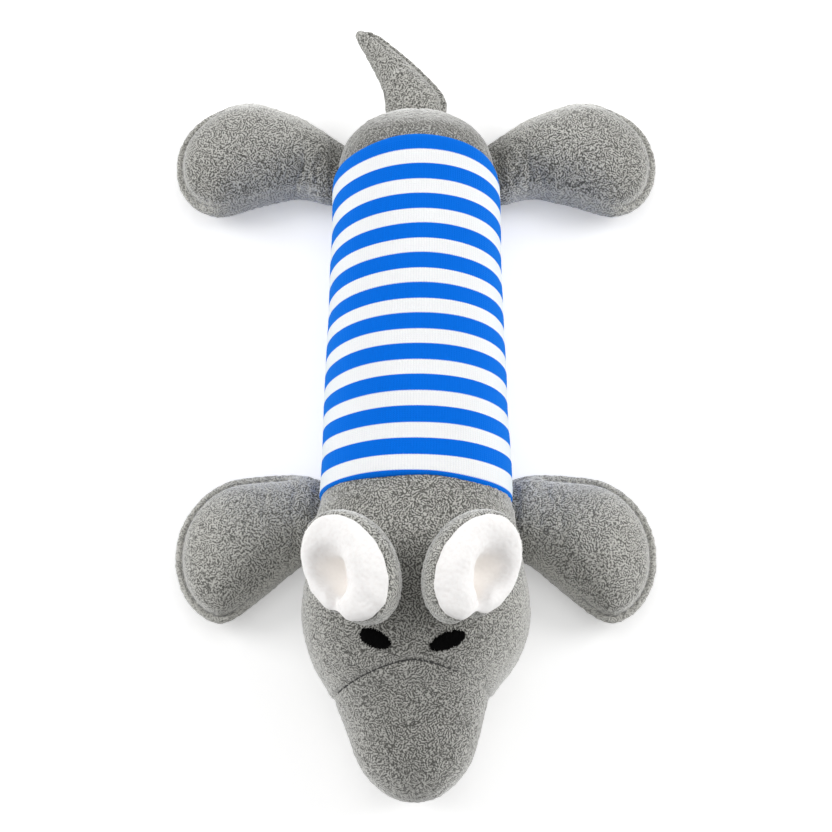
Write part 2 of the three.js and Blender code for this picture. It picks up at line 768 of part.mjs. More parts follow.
// Tail: a horn in two panels, sewn to the end of the rump
function buildTail(toy) {
  const root = TAIL_ROOT_RADIUS;
  const middlePlace = TAIL_LENGTH / 2;
  const form = new SoftForm({
    start: -root,
    startRound: root,
    startFullness: TAIL_ROOT_FULLNESS,
    end: TAIL_LENGTH,
    endRound: TAIL_TIP_ROUND,
    endHeight: 0,
    middle: curveThrough([[0, 0], [middlePlace, TAIL_MIDDLE_LEAN], [TAIL_LENGTH, TAIL_LEAN]]),
    width: curveThrough([
      [0, TAIL_ROOT_WIDTH],
      [middlePlace, TAIL_MIDDLE_WIDTH],
      [TAIL_LENGTH, TAIL_TIP_WIDTH],
    ]),
    seam: () => 0,
    rise: curveThrough([[0, root], [TAIL_LENGTH, TAIL_TIP_RISE]]),
    drop: curveThrough([[0, root], [TAIL_LENGTH, TAIL_TIP_RISE]]),
    sides: TAIL_SIDES,
    rings: TAIL_RINGS,
  });
  const tail = new THREE.Group();
  const rumpEnd = SLEEVE_LENGTH + RUMP_LENGTH;
  tail.position.set(0, rumpEnd + SEAM_GAP + root, RUMP_TIP_HEIGHT);
  tail.rotation.z = Math.PI / 2;
  toy.add(tail);
  const skin = form.skin(PLUSH);
  add(tail, 'tail_upper_panel', skin.intersect(above(SEAM_GAP / 2)), 'plush');
  add(tail, 'tail_lower_panel', skin.subtract(above(-SEAM_GAP / 2)), 'plush');
  add(tail, 'tail_filling', form.solid(PLUSH + SEAM_GAP), 'stuffing');
}

const rearLimbPlace = SLEEVE_LENGTH + REAR_LIMB_SETBACK;
const toy = new THREE.Group();
buildTorso(toy);
buildSqueaker(toy);
buildHead(toy);
buildEar(toy, 'left_ear', LEFT_EAR_ACROSS, -1);
buildEar(toy, 'right_ear', RIGHT_EAR_ACROSS, 1);
buildLimb(toy, 'front_left_limb', FRONT_LIMB, -1, FRONT_LIMB_PLACE, 0);
buildLimb(toy, 'front_right_limb', FRONT_LIMB, 1, FRONT_LIMB_PLACE, 0);
buildLimb(toy, 'rear_left_limb', REAR_LIMB, -1, rearLimbPlace, 0);
buildLimb(toy, 'rear_right_limb', REAR_LIMB, 1, rearLimbPlace, REAR_RIGHT_YAW);
buildTail(toy);

// The toy stands with the middle of its footprint over the origin
const box = new THREE.Box3().setFromObject(toy);
toy.position.set(-(box.min.x + box.max.x) / 2, -(box.min.y + box.max.y) / 2, -box.min.z);
const part = new THREE.Group();
part.add(toy);

export default part;
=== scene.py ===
"""Looks of a squeaky plush dog toy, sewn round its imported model."""

import json
import math

import bmesh
import bpy
import numpy as np
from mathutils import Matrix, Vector
from mathutils.bvhtree import BVHTree


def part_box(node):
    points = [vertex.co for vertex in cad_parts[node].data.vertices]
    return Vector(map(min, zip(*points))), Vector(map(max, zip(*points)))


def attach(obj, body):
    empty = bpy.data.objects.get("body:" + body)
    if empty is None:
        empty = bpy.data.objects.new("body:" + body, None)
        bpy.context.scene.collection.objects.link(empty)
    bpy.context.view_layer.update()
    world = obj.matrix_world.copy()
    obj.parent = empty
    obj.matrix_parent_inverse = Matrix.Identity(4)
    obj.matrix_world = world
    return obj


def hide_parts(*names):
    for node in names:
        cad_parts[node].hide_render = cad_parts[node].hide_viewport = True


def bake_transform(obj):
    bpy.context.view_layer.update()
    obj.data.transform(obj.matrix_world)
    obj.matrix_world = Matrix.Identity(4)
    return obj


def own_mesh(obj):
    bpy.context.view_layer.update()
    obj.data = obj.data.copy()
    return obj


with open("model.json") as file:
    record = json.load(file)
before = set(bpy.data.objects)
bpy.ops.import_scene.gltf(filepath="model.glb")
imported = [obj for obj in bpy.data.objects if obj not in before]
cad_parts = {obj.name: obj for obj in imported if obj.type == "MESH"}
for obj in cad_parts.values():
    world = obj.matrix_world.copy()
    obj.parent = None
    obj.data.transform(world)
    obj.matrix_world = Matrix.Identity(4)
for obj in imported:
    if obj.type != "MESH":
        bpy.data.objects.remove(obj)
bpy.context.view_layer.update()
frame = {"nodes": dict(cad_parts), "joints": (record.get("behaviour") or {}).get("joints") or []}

bl_info = {
    "name": "Plush toy looks",
    "version": (1, 0, 0),
    "blender": (4, 5, 0),
    "location": "View3D > Sidebar > Plush toy",
    "description": "Sews plush, knit and fleece round the packed squeaky toy",
    "category": "Object",
}

MM = 0.001
SLEEVE_LOW, SLEEVE_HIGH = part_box("striped_sleeve")
NECK = np.array([(SLEEVE_LOW.x + SLEEVE_HIGH.x) / 2, SLEEVE_LOW.y, 0.0]) / MM
SLEEVE_LENGTH = (SLEEVE_HIGH.y - SLEEVE_LOW.y) / MM
JOINTS = {joint["name"]: joint for joint in frame["joints"]}


class PlushSizes(bpy.types.PropertyGroup):
    """Sizes of the cloth and its sewing."""

    curl: bpy.props.FloatProperty(
        name="Pile curl", description="Size of one curl of the pile",
        default=0.00056, unit="LENGTH")
    clump: bpy.props.FloatProperty(
        name="Pile clump", description="Distance between two clumps of the pile",
        default=0.0024, unit="LENGTH")
    clump_height: bpy.props.FloatProperty(
        name="Clump height", description="How far clumps of pile stand proud",
        default=0.00006, unit="LENGTH")
    stripe: bpy.props.FloatProperty(
        name="Stripe repeat", description="One blue and one white stripe of the sleeve",
        default=0.01016, unit="LENGTH")
    blue_share: bpy.props.FloatProperty(
        name="Blue share", description="Share of the stripe repeat that is blue",
        default=0.528, subtype="FACTOR")
    wale: bpy.props.FloatProperty(
        name="Knit wale", description="Width of one column of knit stitches",
        default=0.0008, unit="LENGTH")
    flange: bpy.props.FloatProperty(
        name="Flange width", description="Flat edge outside a limb's topstitching",
        default=0.0024, unit="LENGTH")
    flange_thickness: bpy.props.FloatProperty(
        name="Flange thickness", description="Half thickness of that flat edge",
        default=0.0013, unit="LENGTH")
    stitch: bpy.props.FloatProperty(
        name="Stitch length", description="Length of one topstitch",
        default=0.0024, unit="LENGTH")
    thread: bpy.props.FloatProperty(
        name="Thread", description="Diameter of the sewing thread",
        default=0.00045, unit="LENGTH")
    seam_depth: bpy.props.FloatProperty(
        name="Seam depth", description="How deep a seam is drawn into the plush",
        default=0.0006, unit="LENGTH")
    ear_roll: bpy.props.FloatProperty(
        name="Ear roll", description="Height of the fleece roll round an ear",
        default=0.0045, unit="LENGTH")


class PlushColours(bpy.types.PropertyGroup):
    """Colours of the cloth, thread and stage."""

    # The pile's light tips and dark roots are lit and shaded copies of the grey: painted light on
    # the tips, painted shade in the gaps between curls.
    pile_tip_painted_light: bpy.props.FloatVectorProperty(
        name="Pile tips", description="Light ends of the grey pile",
        default=(0.572, 0.566, 0.53), subtype="COLOR")
    pile_root_painted_shade: bpy.props.FloatVectorProperty(
        name="Pile roots", description="Dark gaps between curls of the grey pile",
        default=(0.086, 0.085, 0.076), subtype="COLOR")
    stripe_blue: bpy.props.FloatVectorProperty(
        name="Blue stripe", description="Blue yarn of the sleeve",
        default=(0.0, 0.155, 0.785), subtype="COLOR")
    stripe_white: bpy.props.FloatVectorProperty(
        name="White stripe", description="White yarn of the sleeve",
        default=(0.97, 0.97, 0.97), subtype="COLOR")
    fleece: bpy.props.FloatVectorProperty(
        name="Fleece", description="White lining of the ears",
        default=(0.95, 0.935, 0.925), subtype="COLOR")
    eye: bpy.props.FloatVectorProperty(
        name="Eye thread", description="Black thread of the eyes",
        default=(0.003, 0.003, 0.003), subtype="COLOR")
    seam: bpy.props.FloatVectorProperty(
        name="Seam thread", description="Dark thread of the face seam",
        default=(0.05, 0.05, 0.05), subtype="COLOR")
    stitch: bpy.props.FloatVectorProperty(
        name="Topstitch", description="Grey thread of the topstitching",
        default=(0.26, 0.26, 0.255), subtype="COLOR")
    vinyl: bpy.props.FloatVectorProperty(
        name="Vinyl", description="Squeaker inside the stuffing",
        default=(0.81, 0.79, 0.71), subtype="COLOR")
    floor: bpy.props.FloatVectorProperty(
        name="Floor", description="Floor and background",
        default=(0.93, 0.93, 0.93), subtype="COLOR")


def sizes():
    return bpy.context.scene.plush_sizes


def colours():
    return bpy.context.scene.plush_colours


# Materials: arithmetic on a socket adds Math nodes, and node() adds any other


class Shade:
    """A value carried by a socket."""

    def __init__(self, finish, socket):
        self.finish = finish
        self.socket = socket

    def _math(self, operation, *values):
        return self.finish.node("ShaderNodeMath", {"operation": operation}, dict(enumerate(values)))

    def __add__(self, other):
        return self._math("ADD", self, other)

    __radd__ = __add__

    def __sub__(self, other):
        return self._math("SUBTRACT", self, other)

    def __rsub__(self, other):
        return self._math("SUBTRACT", other, self)

    def __mul__(self, other):
        return self._math("MULTIPLY", self, other)

    __rmul__ = __mul__

    def __truediv__(self, other):
        return self._math("DIVIDE", self, other)

    def __rtruediv__(self, other):
        return self._math("DIVIDE", other, self)

    def sine(self):
        return self._math("SINE", self)

    def size(self):
        return self._math("ABSOLUTE", self)

    def fraction(self):
        return self._math("FRACT", self)

    def largest(self, other):
        return self._math("MAXIMUM", self, other)

    def eased(self, low, high):
        sockets = {"Value": self, "From Min": low, "From Max": high}
        return self.finish.node("ShaderNodeMapRange", {"interpolation_type": "SMOOTHSTEP"}, sockets)


class Finish:
    """The nodes of one material or of the world."""

    def __init__(self, owner):
        self.owner = owner
        owner.use_nodes = True
        self.tree = owner.node_tree
        self.tree.nodes.clear()

    def node(self, kind, settings=None, sockets=None, out=0):
        made = self.tree.nodes.new(kind)
        for key, value in (settings or {}).items():
            setattr(made, key, value)
        for key, value in (sockets or {}).items():
            if isinstance(value, Shade):
                self.tree.links.new(value.socket, made.inputs[key])
            else:
                made.inputs[key].default_value = value
        return Shade(self, made.outputs[out]) if made.outputs else made

    def mix(self, share, first, second, blend="MIX"):
        settings = {"data_type": "RGBA", "blend_type": blend}
        return self.node("ShaderNodeMix", settings, {"Factor": share, 6: first, 7: second}, out=2)

    def vector(self, operation, *vectors):
        return self.node("ShaderNodeVectorMath", {"operation": operation}, dict(enumerate(vectors)))

    def scaled(self, vector, scale):
        sockets = {0: vector, "Scale": scale}
        return self.node("ShaderNodeVectorMath", {"operation": "SCALE"}, sockets)

    def place(self):
        """The object's own coordinates, in millimetres."""
        return self.scaled(self.node("ShaderNodeTexCoord", out="Object"), 1 / MM)

    def noise(self, place, wave, detail, out="Fac"):
        sockets = {"Vector": place, "Scale": 1 / wave, "Detail": detail}
        return self.node("ShaderNodeTexNoise", None, sockets, out)

    def attribute(self, name):
        return self.node("ShaderNodeAttribute", {"attribute_name": name}, out="Fac")

    def bump(self, height, distance, strength):
        sockets = {"Height": height, "Distance": distance, "Strength": strength}
        return self.node("ShaderNodeBump", None, sockets, out="Normal")

    def cloth(self, colour, roughness, normal, sheen, specular, tint=(1, 1, 1)):
        """A matt cloth surface, which ends the material."""
        sockets = {
            "Base Color": colour,
            "Roughness": roughness,
            "Normal": normal,
            "Sheen Weight": sheen,
            "Sheen Roughness": 0.5,
            "Sheen Tint": opaque(tint),
            "Specular IOR Level": specular,
        }
        surface = self.node("ShaderNodeBsdfPrincipled", None, sockets)
        self.node("ShaderNodeOutputMaterial", None, {"Surface": surface})


def opaque(colour):
    return (*colour, 1.0)


PILE_LIE = (0.61, 0.43, 0.27)
PILE_SWIRL = 5.0
PILE_MOTTLE = 9.0
PILE_SHEEN = (0.96, 0.96, 0.95)
STRAND_STEP = 0.62


def grey_plush(finish):
    """Short curled pile: strands that lie in swirls, with painted light on one flank and painted
    shade on the other and in the gaps between them.
    """
    place = finish.node("ShaderNodeVectorRotate", {"rotation_type": "EULER_XYZ"},
                        {"Vector": finish.place(), "Rotation": PILE_LIE})
    curl = sizes().curl / MM
    swirl = finish.noise(place, PILE_SWIRL, 0.0, "Color")
    way = finish.vector("NORMALIZE", finish.vector("SUBTRACT", swirl, (0.5, 0.5, 0.5)))
    beside = finish.vector("ADD", place, finish.scaled(way, STRAND_STEP * curl))
    height = finish.noise(place, curl, 0.0)
    strand_light_and_shade = (height - finish.noise(beside, curl, 0.0)).eased(-0.27, 0.3)
    mottle = finish.noise(place, PILE_MOTTLE, 1.0)
    # Painted light and shade: the strand pattern and each piece's painted shading move the colour
    # between the shaded root grey and the lit tip grey; the mottle is a random tone.
    share = strand_light_and_shade * 0.98 + mottle * 0.16 + finish.attribute("painted_shading") - 0.06
    colour = finish.mix(share, opaque(colours().pile_root_painted_shade), opaque(colours().pile_tip_painted_light))
    normal = finish.bump(height, 0.0003, 0.6)
    finish.cloth(colour, 0.98 - strand_light_and_shade * 0.1, normal, sheen=1.0, specular=0.06, tint=PILE_SHEEN)


FABRIC_UNIT = 100.0
COURSE_SHARE = 0.8
STRIPE_STEP = 0.12
STRIPE_BLUR = 0.016
KNIT_SHADE = (0.55, 0.6, 0.72, 1)
KNIT_SHEEN = (0.12, 0.7, 1.0)


def striped_knit(finish):
    """Columns of leaning loops in two colours of yarn."""
    fabric = finish.node("ShaderNodeUVMap", {"uv_map": "fabric"})
    across, along = (finish.node("ShaderNodeSeparateXYZ", None, {0: fabric}, out=axis) * FABRIC_UNIT
                     for axis in "XY")
    wale = sizes().wale / MM
    turn = across / wale
    column = (turn * math.pi).sine().size()
    leaning = (turn.fraction() - 0.5).size()
    loop = ((along / (COURSE_SHARE * wale) + leaning) * (2 * math.pi)).sine() * 0.5 + 0.5
    stripe = sizes().stripe / MM
    middle = (((along + loop * STRIPE_STEP) / stripe).fraction() - 0.5).size()
    half = sizes().blue_share / 2
    blue = 1 - middle.eased(half - STRIPE_BLUR, half + STRIPE_BLUR)
    fuzz = finish.noise(finish.place(), 0.5, 1.0)
    # Painted shade: the yarn is darker between the knit's columns and loops, and varies at random
    # with the fuzz.
    light = column * 0.12 + loop * 0.06 + fuzz * 0.10
    yarn = finish.mix(blue, opaque(colours().stripe_white), opaque(colours().stripe_blue))
    yarn_with_painted_shade = finish.mix(0.26 - light, yarn, KNIT_SHADE, "MULTIPLY")
    normal = finish.bump(column * 0.6 + loop * 0.4 + fuzz * 0.3, 0.00016, 0.7)
    finish.cloth(yarn_with_painted_shade, 0.9 - column * 0.08, normal, sheen=0.3, specular=0.05, tint=KNIT_SHEEN)


FLEECE_SHADE = (0.91, 0.885, 0.87, 1)
HOLLOW_PAINTED_LIGHT = (0.975, 0.945, 0.915, 1)


def white_fleece(finish):
    place = finish.place()
    curl = finish.noise(place, 1.1, 2.0)
    fibre = finish.noise(place, 0.3, 1.0)
    # Painted shade: the fleece is darker in the low parts of its curls, where the bump sinks.
    light = finish.mix(curl.eased(0.25, 0.6), FLEECE_SHADE, opaque(colours().fleece))
    # Painted light: towards the bottom of an ear's hollow the colour turns warm, for the light that
    # bounces inside it.
    colour = finish.mix(finish.attribute("hollow"), light, HOLLOW_PAINTED_LIGHT)
    normal = finish.bump(curl + fibre * 0.4, 0.00014, 0.4)
    finish.cloth(colour, 0.97 - fibre * 0.06, normal, sheen=0.2, specular=0.1)


THREADS = {  # colour, sheen and gloss
    "eye thread": ("eye", 0.0, 0.01),
    "seam thread": ("seam", 0.05, 0.08),
    "grey stitch": ("stitch", 0.1, 0.08),
}


def spun_thread(finish):
    """Twisted thread: fine slanting plies."""
    shade, sheen, gloss = THREADS[finish.owner.name]
    colour = getattr(colours(), shade)
    ply = finish.node("ShaderNodeTexWave", {"bands_direction": "DIAGONAL"},
                      {"Vector": finish.place(), "Scale": 1.3, "Distortion": 1.5}, out="Fac")
    # Painted highlight: the raised plies are lighter than the thread.
    light = [min(1.0, part * 2.0) for part in colour]
    tone = finish.mix(ply * 0.5, opaque(colour), opaque(light))
    normal = finish.bump(ply, 0.0001, 0.6)
    finish.cloth(tone, 0.75 - ply * 0.15, normal, sheen=sheen, specular=gloss)


def moulded_vinyl(finish):
    place = finish.place()
    grain = finish.noise(place, 0.6, 3.0)
    bloom = finish.noise(place, 6.0, 2.0)
    base = colours().vinyl
    colour = finish.mix(bloom, opaque([part * 0.86 for part in base]), opaque(base))
    normal = finish.bump(grain, 0.00008, 0.4)
    finish.cloth(colour, 0.4 + grain * 0.2, normal, sheen=0.0, specular=0.5)


MAKERS = {
    "grey plush": grey_plush, "striped knit": striped_knit, "white fleece": white_fleece,
    "squeaker vinyl": moulded_vinyl, **dict.fromkeys(THREADS, spun_thread),
}


def material(name):
    """The material of that name, made once."""
    found = bpy.data.materials.get(name)
    if not found:
        found = bpy.data.materials.new(name)
        MAKERS[name](Finish(found))
    return found


# Soft forms, in millimetres: x across, y back from the neck seam, z up

FLOOR_GAP = 0.02
REST_SOFTNESS = 1.2
REST_FADE = 4.0


def curve_through(*pairs):
    """Smooth curve through (place, value) pairs."""
    places, values = np.array(pairs, float).T
    last = len(places) - 1
    before = np.maximum(np.arange(last + 1) - 1, 0)
    after = np.minimum(np.arange(last + 1) + 1, last)
    slopes = (values[after] - values[before]) / (places[after] - places[before])

    def value(place):
        place = np.asarray(place, float)
        i = np.clip(np.searchsorted(places, place) - 1, 0, last - 1)
        span = places[i + 1] - places[i]
        t = np.clip((place - places[i]) / span, 0, 1)
        ease = t * t * (3 - 2 * t)
        lift = t * (1 - t) * ((1 - t) * slopes[i] - t * slopes[i + 1]) * span
        return values[i] + (values[i + 1] - values[i]) * ease + lift

    return value


def eased(value, low, high):
    t = np.clip((np.asarray(value, float) - low) / (high - low), 0, 1)
    return t * t * (3 - 2 * t)


def rounded_end(distance, length, fullness=2.1):
    share = np.clip(1 - distance / length, 0, 1)
    return (1 - share ** fullness) ** (1 / fullness)


def hump(distance, width):
    return np.exp(-((distance / width) ** 2))


def off_floor(height):
    """Heights of a form that flattens softly where it rests on the floor."""
    soft = 0.5 * (height + np.sqrt(height ** 2 + REST_SOFTNESS ** 2))
    return soft - 0.5 * REST_SOFTNESS * np.exp(-np.abs(height) / REST_FADE)


class Relief:
    """Waves of about one length in every direction, as loose pile has."""

    def __init__(self, seed, wave, count=40):
        rng = np.random.default_rng(seed)
        way = rng.normal(size=(count, 3))
        way /= np.linalg.norm(way, axis=1)[:, None]
        self.way = way * (2 * math.pi / wave) * rng.uniform(0.8, 1.25, (count, 1))
        self.start = rng.uniform(0, 2 * math.pi, count)

    def at(self, points):
        return np.cos(points @ self.way.T + self.start).sum(1) * math.sqrt(2 / len(self.start))


def grid_faces(rows, columns, closed=False, first=0):
    """Quads of a grid of points, its columns joined in a ring where closed."""
    faces = []
    for row in range(rows - 1):
        for column in range(columns if closed else columns - 1):
            here = first + row * columns + column
            side = first + row * columns + (column + 1) % columns
            faces.append((here, side, side + columns, here + columns))
    return faces


def ring_angles(sides):
    """Angles round a form from its underside, over the top and back."""
    return np.linspace(-math.pi, math.pi, sides, endpoint=False)


def capped_rings(rings):
    """Points and faces of a row of rings, closed by a point at each end."""
    sides = len(rings[0])
    points = np.concatenate([*rings, [rings[0].mean(0), rings[-1].mean(0)]])
    faces = grid_faces(len(rings), sides, True)
    last = (len(rings) - 1) * sides
    for side in range(sides):
        after = (side + 1) % sides
        faces.append((after, side, len(points) - 2))
        faces.append((last + side, last + after, len(points) - 1))
    return points, faces


def merged(points, faces, close=1e-4):
    """Joins points that fall together, and drops the faces that this leaves flat."""
    keys = np.round(points / close).astype(np.int64)
    _, keep, ids = np.unique(keys, axis=0, return_index=True, return_inverse=True)
    ids = ids.reshape(-1).tolist()
    kept = []
    for face in faces:
        corners = tuple(dict.fromkeys(ids[corner] for corner in face))
        if len(corners) > 2:
            kept.append(corners)
    return points[keep], kept, keep


def new_piece(name, points, faces, finish):
    """A mesh object from points in millimetres in the toy's own frame."""
    mesh = bpy.data.meshes.new(name)
    mesh.from_pydata((np.asarray(points, float) + NECK) * MM, [], faces)
    shape = bmesh.new()
    shape.from_mesh(mesh)
    bmesh.ops.recalc_face_normals(shape, faces=shape.faces)
    shape.to_mesh(mesh)
    shape.free()
    mesh.shade_smooth()
    piece = bpy.data.objects.new(name, mesh)
    bpy.context.scene.collection.objects.link(piece)
    mesh.materials.append(material(finish))
    return piece


def vectors_of(items, key):
    flat = np.empty(len(items) * 3, np.float32)
    items.foreach_get(key, flat)
    return flat.reshape(-1, 3).astype(float)


def points_of(piece):
    return vectors_of(piece.data.vertices, "co") / MM - NECK


def normals_of(piece):
    return vectors_of(piece.data.vertex_normals, "vector")


def move_points(piece, points):
    flat = ((points + NECK) * MM).astype(np.float32).ravel()
    piece.data.vertices.foreach_set("co", flat)
    piece.data.update()


def mark(piece, name, values):
    """Gives each point a value that the piece's material reads."""
    layer = piece.data.attributes.new(name, "FLOAT", "POINT")
    values = np.broadcast_to(values, len(piece.data.vertices))
    layer.data.foreach_set("value", values.astype(np.float32))


def paint_shading(piece, painted_shading):
    """Painted light and shade on the pile: above 0 it shows more of its light tips, below 0 more of
    its dark roots.
    """
    mark(piece, "painted_shading", painted_shading)


def refine(piece):
    """One subdivision, applied."""
    finer = piece.modifiers.new("finer", "SUBSURF")
    finer.levels = finer.render_levels = 1
    graph = bpy.context.evaluated_depsgraph_get()
    mesh = bpy.data.meshes.new_from_object(piece.evaluated_get(graph))
    piece.modifiers.remove(finer)
    coarse = piece.data
    piece.data = mesh
    bpy.data.meshes.remove(coarse)
    mesh.name = piece.name
    mesh.shade_smooth()


def lift(piece, *reliefs):
    """Moves the points along their normals by the sum of the reliefs."""
    points = points_of(piece)
    height = sum(relief(points) for relief in reliefs)
    points = points + normals_of(piece) * height[:, None]
    points[:, 2] = np.maximum(points[:, 2], FLOOR_GAP)
    move_points(piece, points)


def pile(seed):
    clumps = Relief(seed, sizes().clump / MM)
    curls = Relief(seed + 1, 0.8 * sizes().clump / MM)
    height = sizes().clump_height / MM
    return lambda points: height * (clumps.at(points) + 0.45 * curls.at(points))


STUFFING_SCALE = 20.0
STUFFING_FRAMES = 20
STUFFING_FLOOR = 0.05
STUFFED_CLOTH = {
    "quality": 6, "mass": 0.05, "tension_stiffness": 12.0, "compression_stiffness": 12.0,
    "shear_stiffness": 6.0, "bending_stiffness": 0.6, "use_pressure": True,
}


def stuff(piece, held, cap, ease, pressure=6.0):
    """Swells a sewn form with cloth simulation; held gives each point's pin weight."""
    scene = bpy.context.scene
    before = points_of(piece)
    mesh = piece.data.copy()
    trial = bpy.data.objects.new(piece.name + ".stuffing", mesh)
    scene.collection.objects.link(trial)
    mesh.vertices.foreach_set("co", (before * MM * STUFFING_SCALE).astype(np.float32).ravel())
    sewn = trial.vertex_groups.new(name="sewn")
    for weight in np.unique(np.round(held, 1)):
        sewn.add(np.flatnonzero(np.round(held, 1) == weight).tolist(), float(weight), "REPLACE")
    cloth = trial.modifiers.new("cloth", "CLOTH")
    for key, value in STUFFED_CLOTH.items():
        setattr(cloth.settings, key, value)
    cloth.settings.uniform_pressure_force = pressure
    cloth.settings.effector_weights.gravity = 0.0
    cloth.settings.shrink_min = -ease
    cloth.settings.vertex_group_mass = "sewn"
    cloth.collision_settings.use_collision = False
    cloth.point_cache.frame_start = 1
    cloth.point_cache.frame_end = STUFFING_FRAMES
    for moment in range(1, STUFFING_FRAMES + 1):
        scene.frame_set(moment)
    swollen = trial.evaluated_get(bpy.context.evaluated_depsgraph_get()).to_mesh()
    moved = vectors_of(swollen.vertices, "co") / (MM * STUFFING_SCALE) - before
    far = np.linalg.norm(moved, axis=1)
    moved *= np.minimum(1, cap / np.maximum(far, 1e-9))[:, None]
    bpy.data.objects.remove(trial)
    bpy.data.meshes.remove(mesh)
    scene.frame_set(1)
    after = before + moved
    after[:, 2] = np.maximum(after[:, 2], np.minimum(before[:, 2], STUFFING_FLOOR))
    move_points(piece, after)


def sew_on(piece, carrier, foot, inner, outer):
    """Bakes the piece's placement into its mesh; the root's two end points are worked out but not
    used.
    """
    start, end = (foot + NECK + inner) * MM, (foot + NECK + outer) * MM
    tuple(start)
    tuple(end)
    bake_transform(piece)


def hinge_of(joint):
    return np.array(JOINTS[joint]["pos_m"]) / MM - NECK


THREAD_SIDES = 6
THREAD_TAPER = 0.55
THREAD_TWIST = (0.13, 0.29, 0.95)


def thread_mesh(name, paths, radius, finish):
    """Closed round threads along paths of points."""
    points, faces = [], []
    turns = 2 * math.pi * np.arange(THREAD_SIDES) / THREAD_SIDES
    for path in paths:
        path = np.asarray(path, float)
        along = np.gradient(path, axis=0)
        along /= np.linalg.norm(along, axis=1)[:, None] + 1e-9
        out = np.cross(along, THREAD_TWIST)
        out /= np.linalg.norm(out, axis=1)[:, None] + 1e-9
        up = np.cross(out, along)
        first, count = len(points), len(path)
        for i in range(count):
            girth = radius * (THREAD_TAPER if i in (0, count - 1) else 1.0)
            for turn in turns:
                points.append(path[i] + girth * (math.cos(turn) * out[i] + math.sin(turn) * up[i]))
        faces += grid_faces(count, THREAD_SIDES, True, first)
        for end in (first, first + (count - 1) * THREAD_SIDES):
            faces.append(tuple(range(end, end + THREAD_SIDES)))
    return new_piece(name, points, faces, finish)


class Ground:
    """The surface of a finished piece, for laying thread on."""

    SKY = 120.0

    def __init__(self, piece):
        corners = [Vector(point) for point in points_of(piece)]
        faces = [tuple(face.vertices) for face in piece.data.polygons]
        self.tree = BVHTree.FromPolygons(corners, faces)

    def laid(self, spots, heights):
        """Points at some heights off the cloth, below flat spots."""
        path = []
        for (x, y), height in zip(spots, heights):
            point, normal, _, _ = self.tree.ray_cast(Vector((x, y, self.SKY)), Vector((0, 0, -1)))
            if point is None:
                raise RuntimeError(f"no cloth under {x:.1f}, {y:.1f}")
            path.append(np.array(point) + np.array(normal) * height)
        return path


# Torso

HIP = SLEEVE_LENGTH
RUMP_LENGTH = 20.2
RUMP_FULLNESS = 1.75
RUMP_TIP_HEIGHT = 16.0
BELLY_SINK = 0.5
torso_half = curve_through((0, 30.3), (62, 28.4), (HIP, 26.6))
torso_top = curve_through((0, 54.5), (62, 53.0), (HIP, 50.5))


def torso_ring(place, inset, angles):
    """One ring of the torso at places behind the neck seam, drawn in by the inset."""
    share = rounded_end(HIP + RUMP_LENGTH - place, RUMP_LENGTH, RUMP_FULLNESS)
    seam = (torso_top(place) - BELLY_SINK) / 2
    middle = RUMP_TIP_HEIGHT + (seam - RUMP_TIP_HEIGHT) * share
    rise = ((torso_top(place) + BELLY_SINK) / 2 - inset) * share
    x = (torso_half(place) - inset) * share * np.sin(angles)
    z = off_floor(middle + rise * np.cos(angles))
    return np.stack([x, np.broadcast_to(place, x.shape), z], 1)


def row_shift(course, angles):
    """How far a row of the knit bows and leans towards the neck at each angle."""
    share = course / HIP
    last = eased(course, HIP - 9, HIP)
    first = 1 - eased(course, 0, 2)
    middle = 6.75 * share ** 2 * (1 - share)
    bow = (1.3 + 3.9 * share + 0.9 * middle + 1.2 * last) * (1 - np.cos(angles))
    lean = (0.25 - 1.6 * share + 0.5 * last) * np.sin(angles)
    stretch = -0.25 * np.sin(2 * math.pi * share)
    return bow + lean + stretch + first * eased(np.sin(angles), 0.1, 0.7)


STRIPE_START = 7.05
LAST_COURSE = HIP - 0.6
FABRIC_RADIUS = 27.0


def fabric_map(piece, sides, courses):
    """Knit coordinates: columns round the sleeve and courses along it."""
    layer = piece.data.uv_layers.new(name="fabric")
    angles = ring_angles(sides)
    rows = len(courses)
    for face in piece.data.polygons:
        columns = [v % sides for v in face.vertices if v < rows * sides]
        wraps = max(columns) - min(columns) > sides / 2
        for loop in face.loop_indices:
            vertex = piece.data.loops[loop].vertex_index
            if vertex >= rows * sides:
                continue
            turn = angles[vertex % sides]
            if wraps and vertex % sides == 0:
                turn += 2 * math.pi
            course = min(courses[vertex // sides], LAST_COURSE) + STRIPE_START
            layer.data[loop].uv = (FABRIC_RADIUS * turn / FABRIC_UNIT, course / FABRIC_UNIT)


SLEEVE_SIDES = 176
SLEEVE_ROWS = 122
HEM = ((9.0, 6.0), (1.5, 2.6), (-0.4, 1.8), (-0.8, 1.0), (-0.6, 0.35), (0.2, 0.05))
HEM_END = 1.6


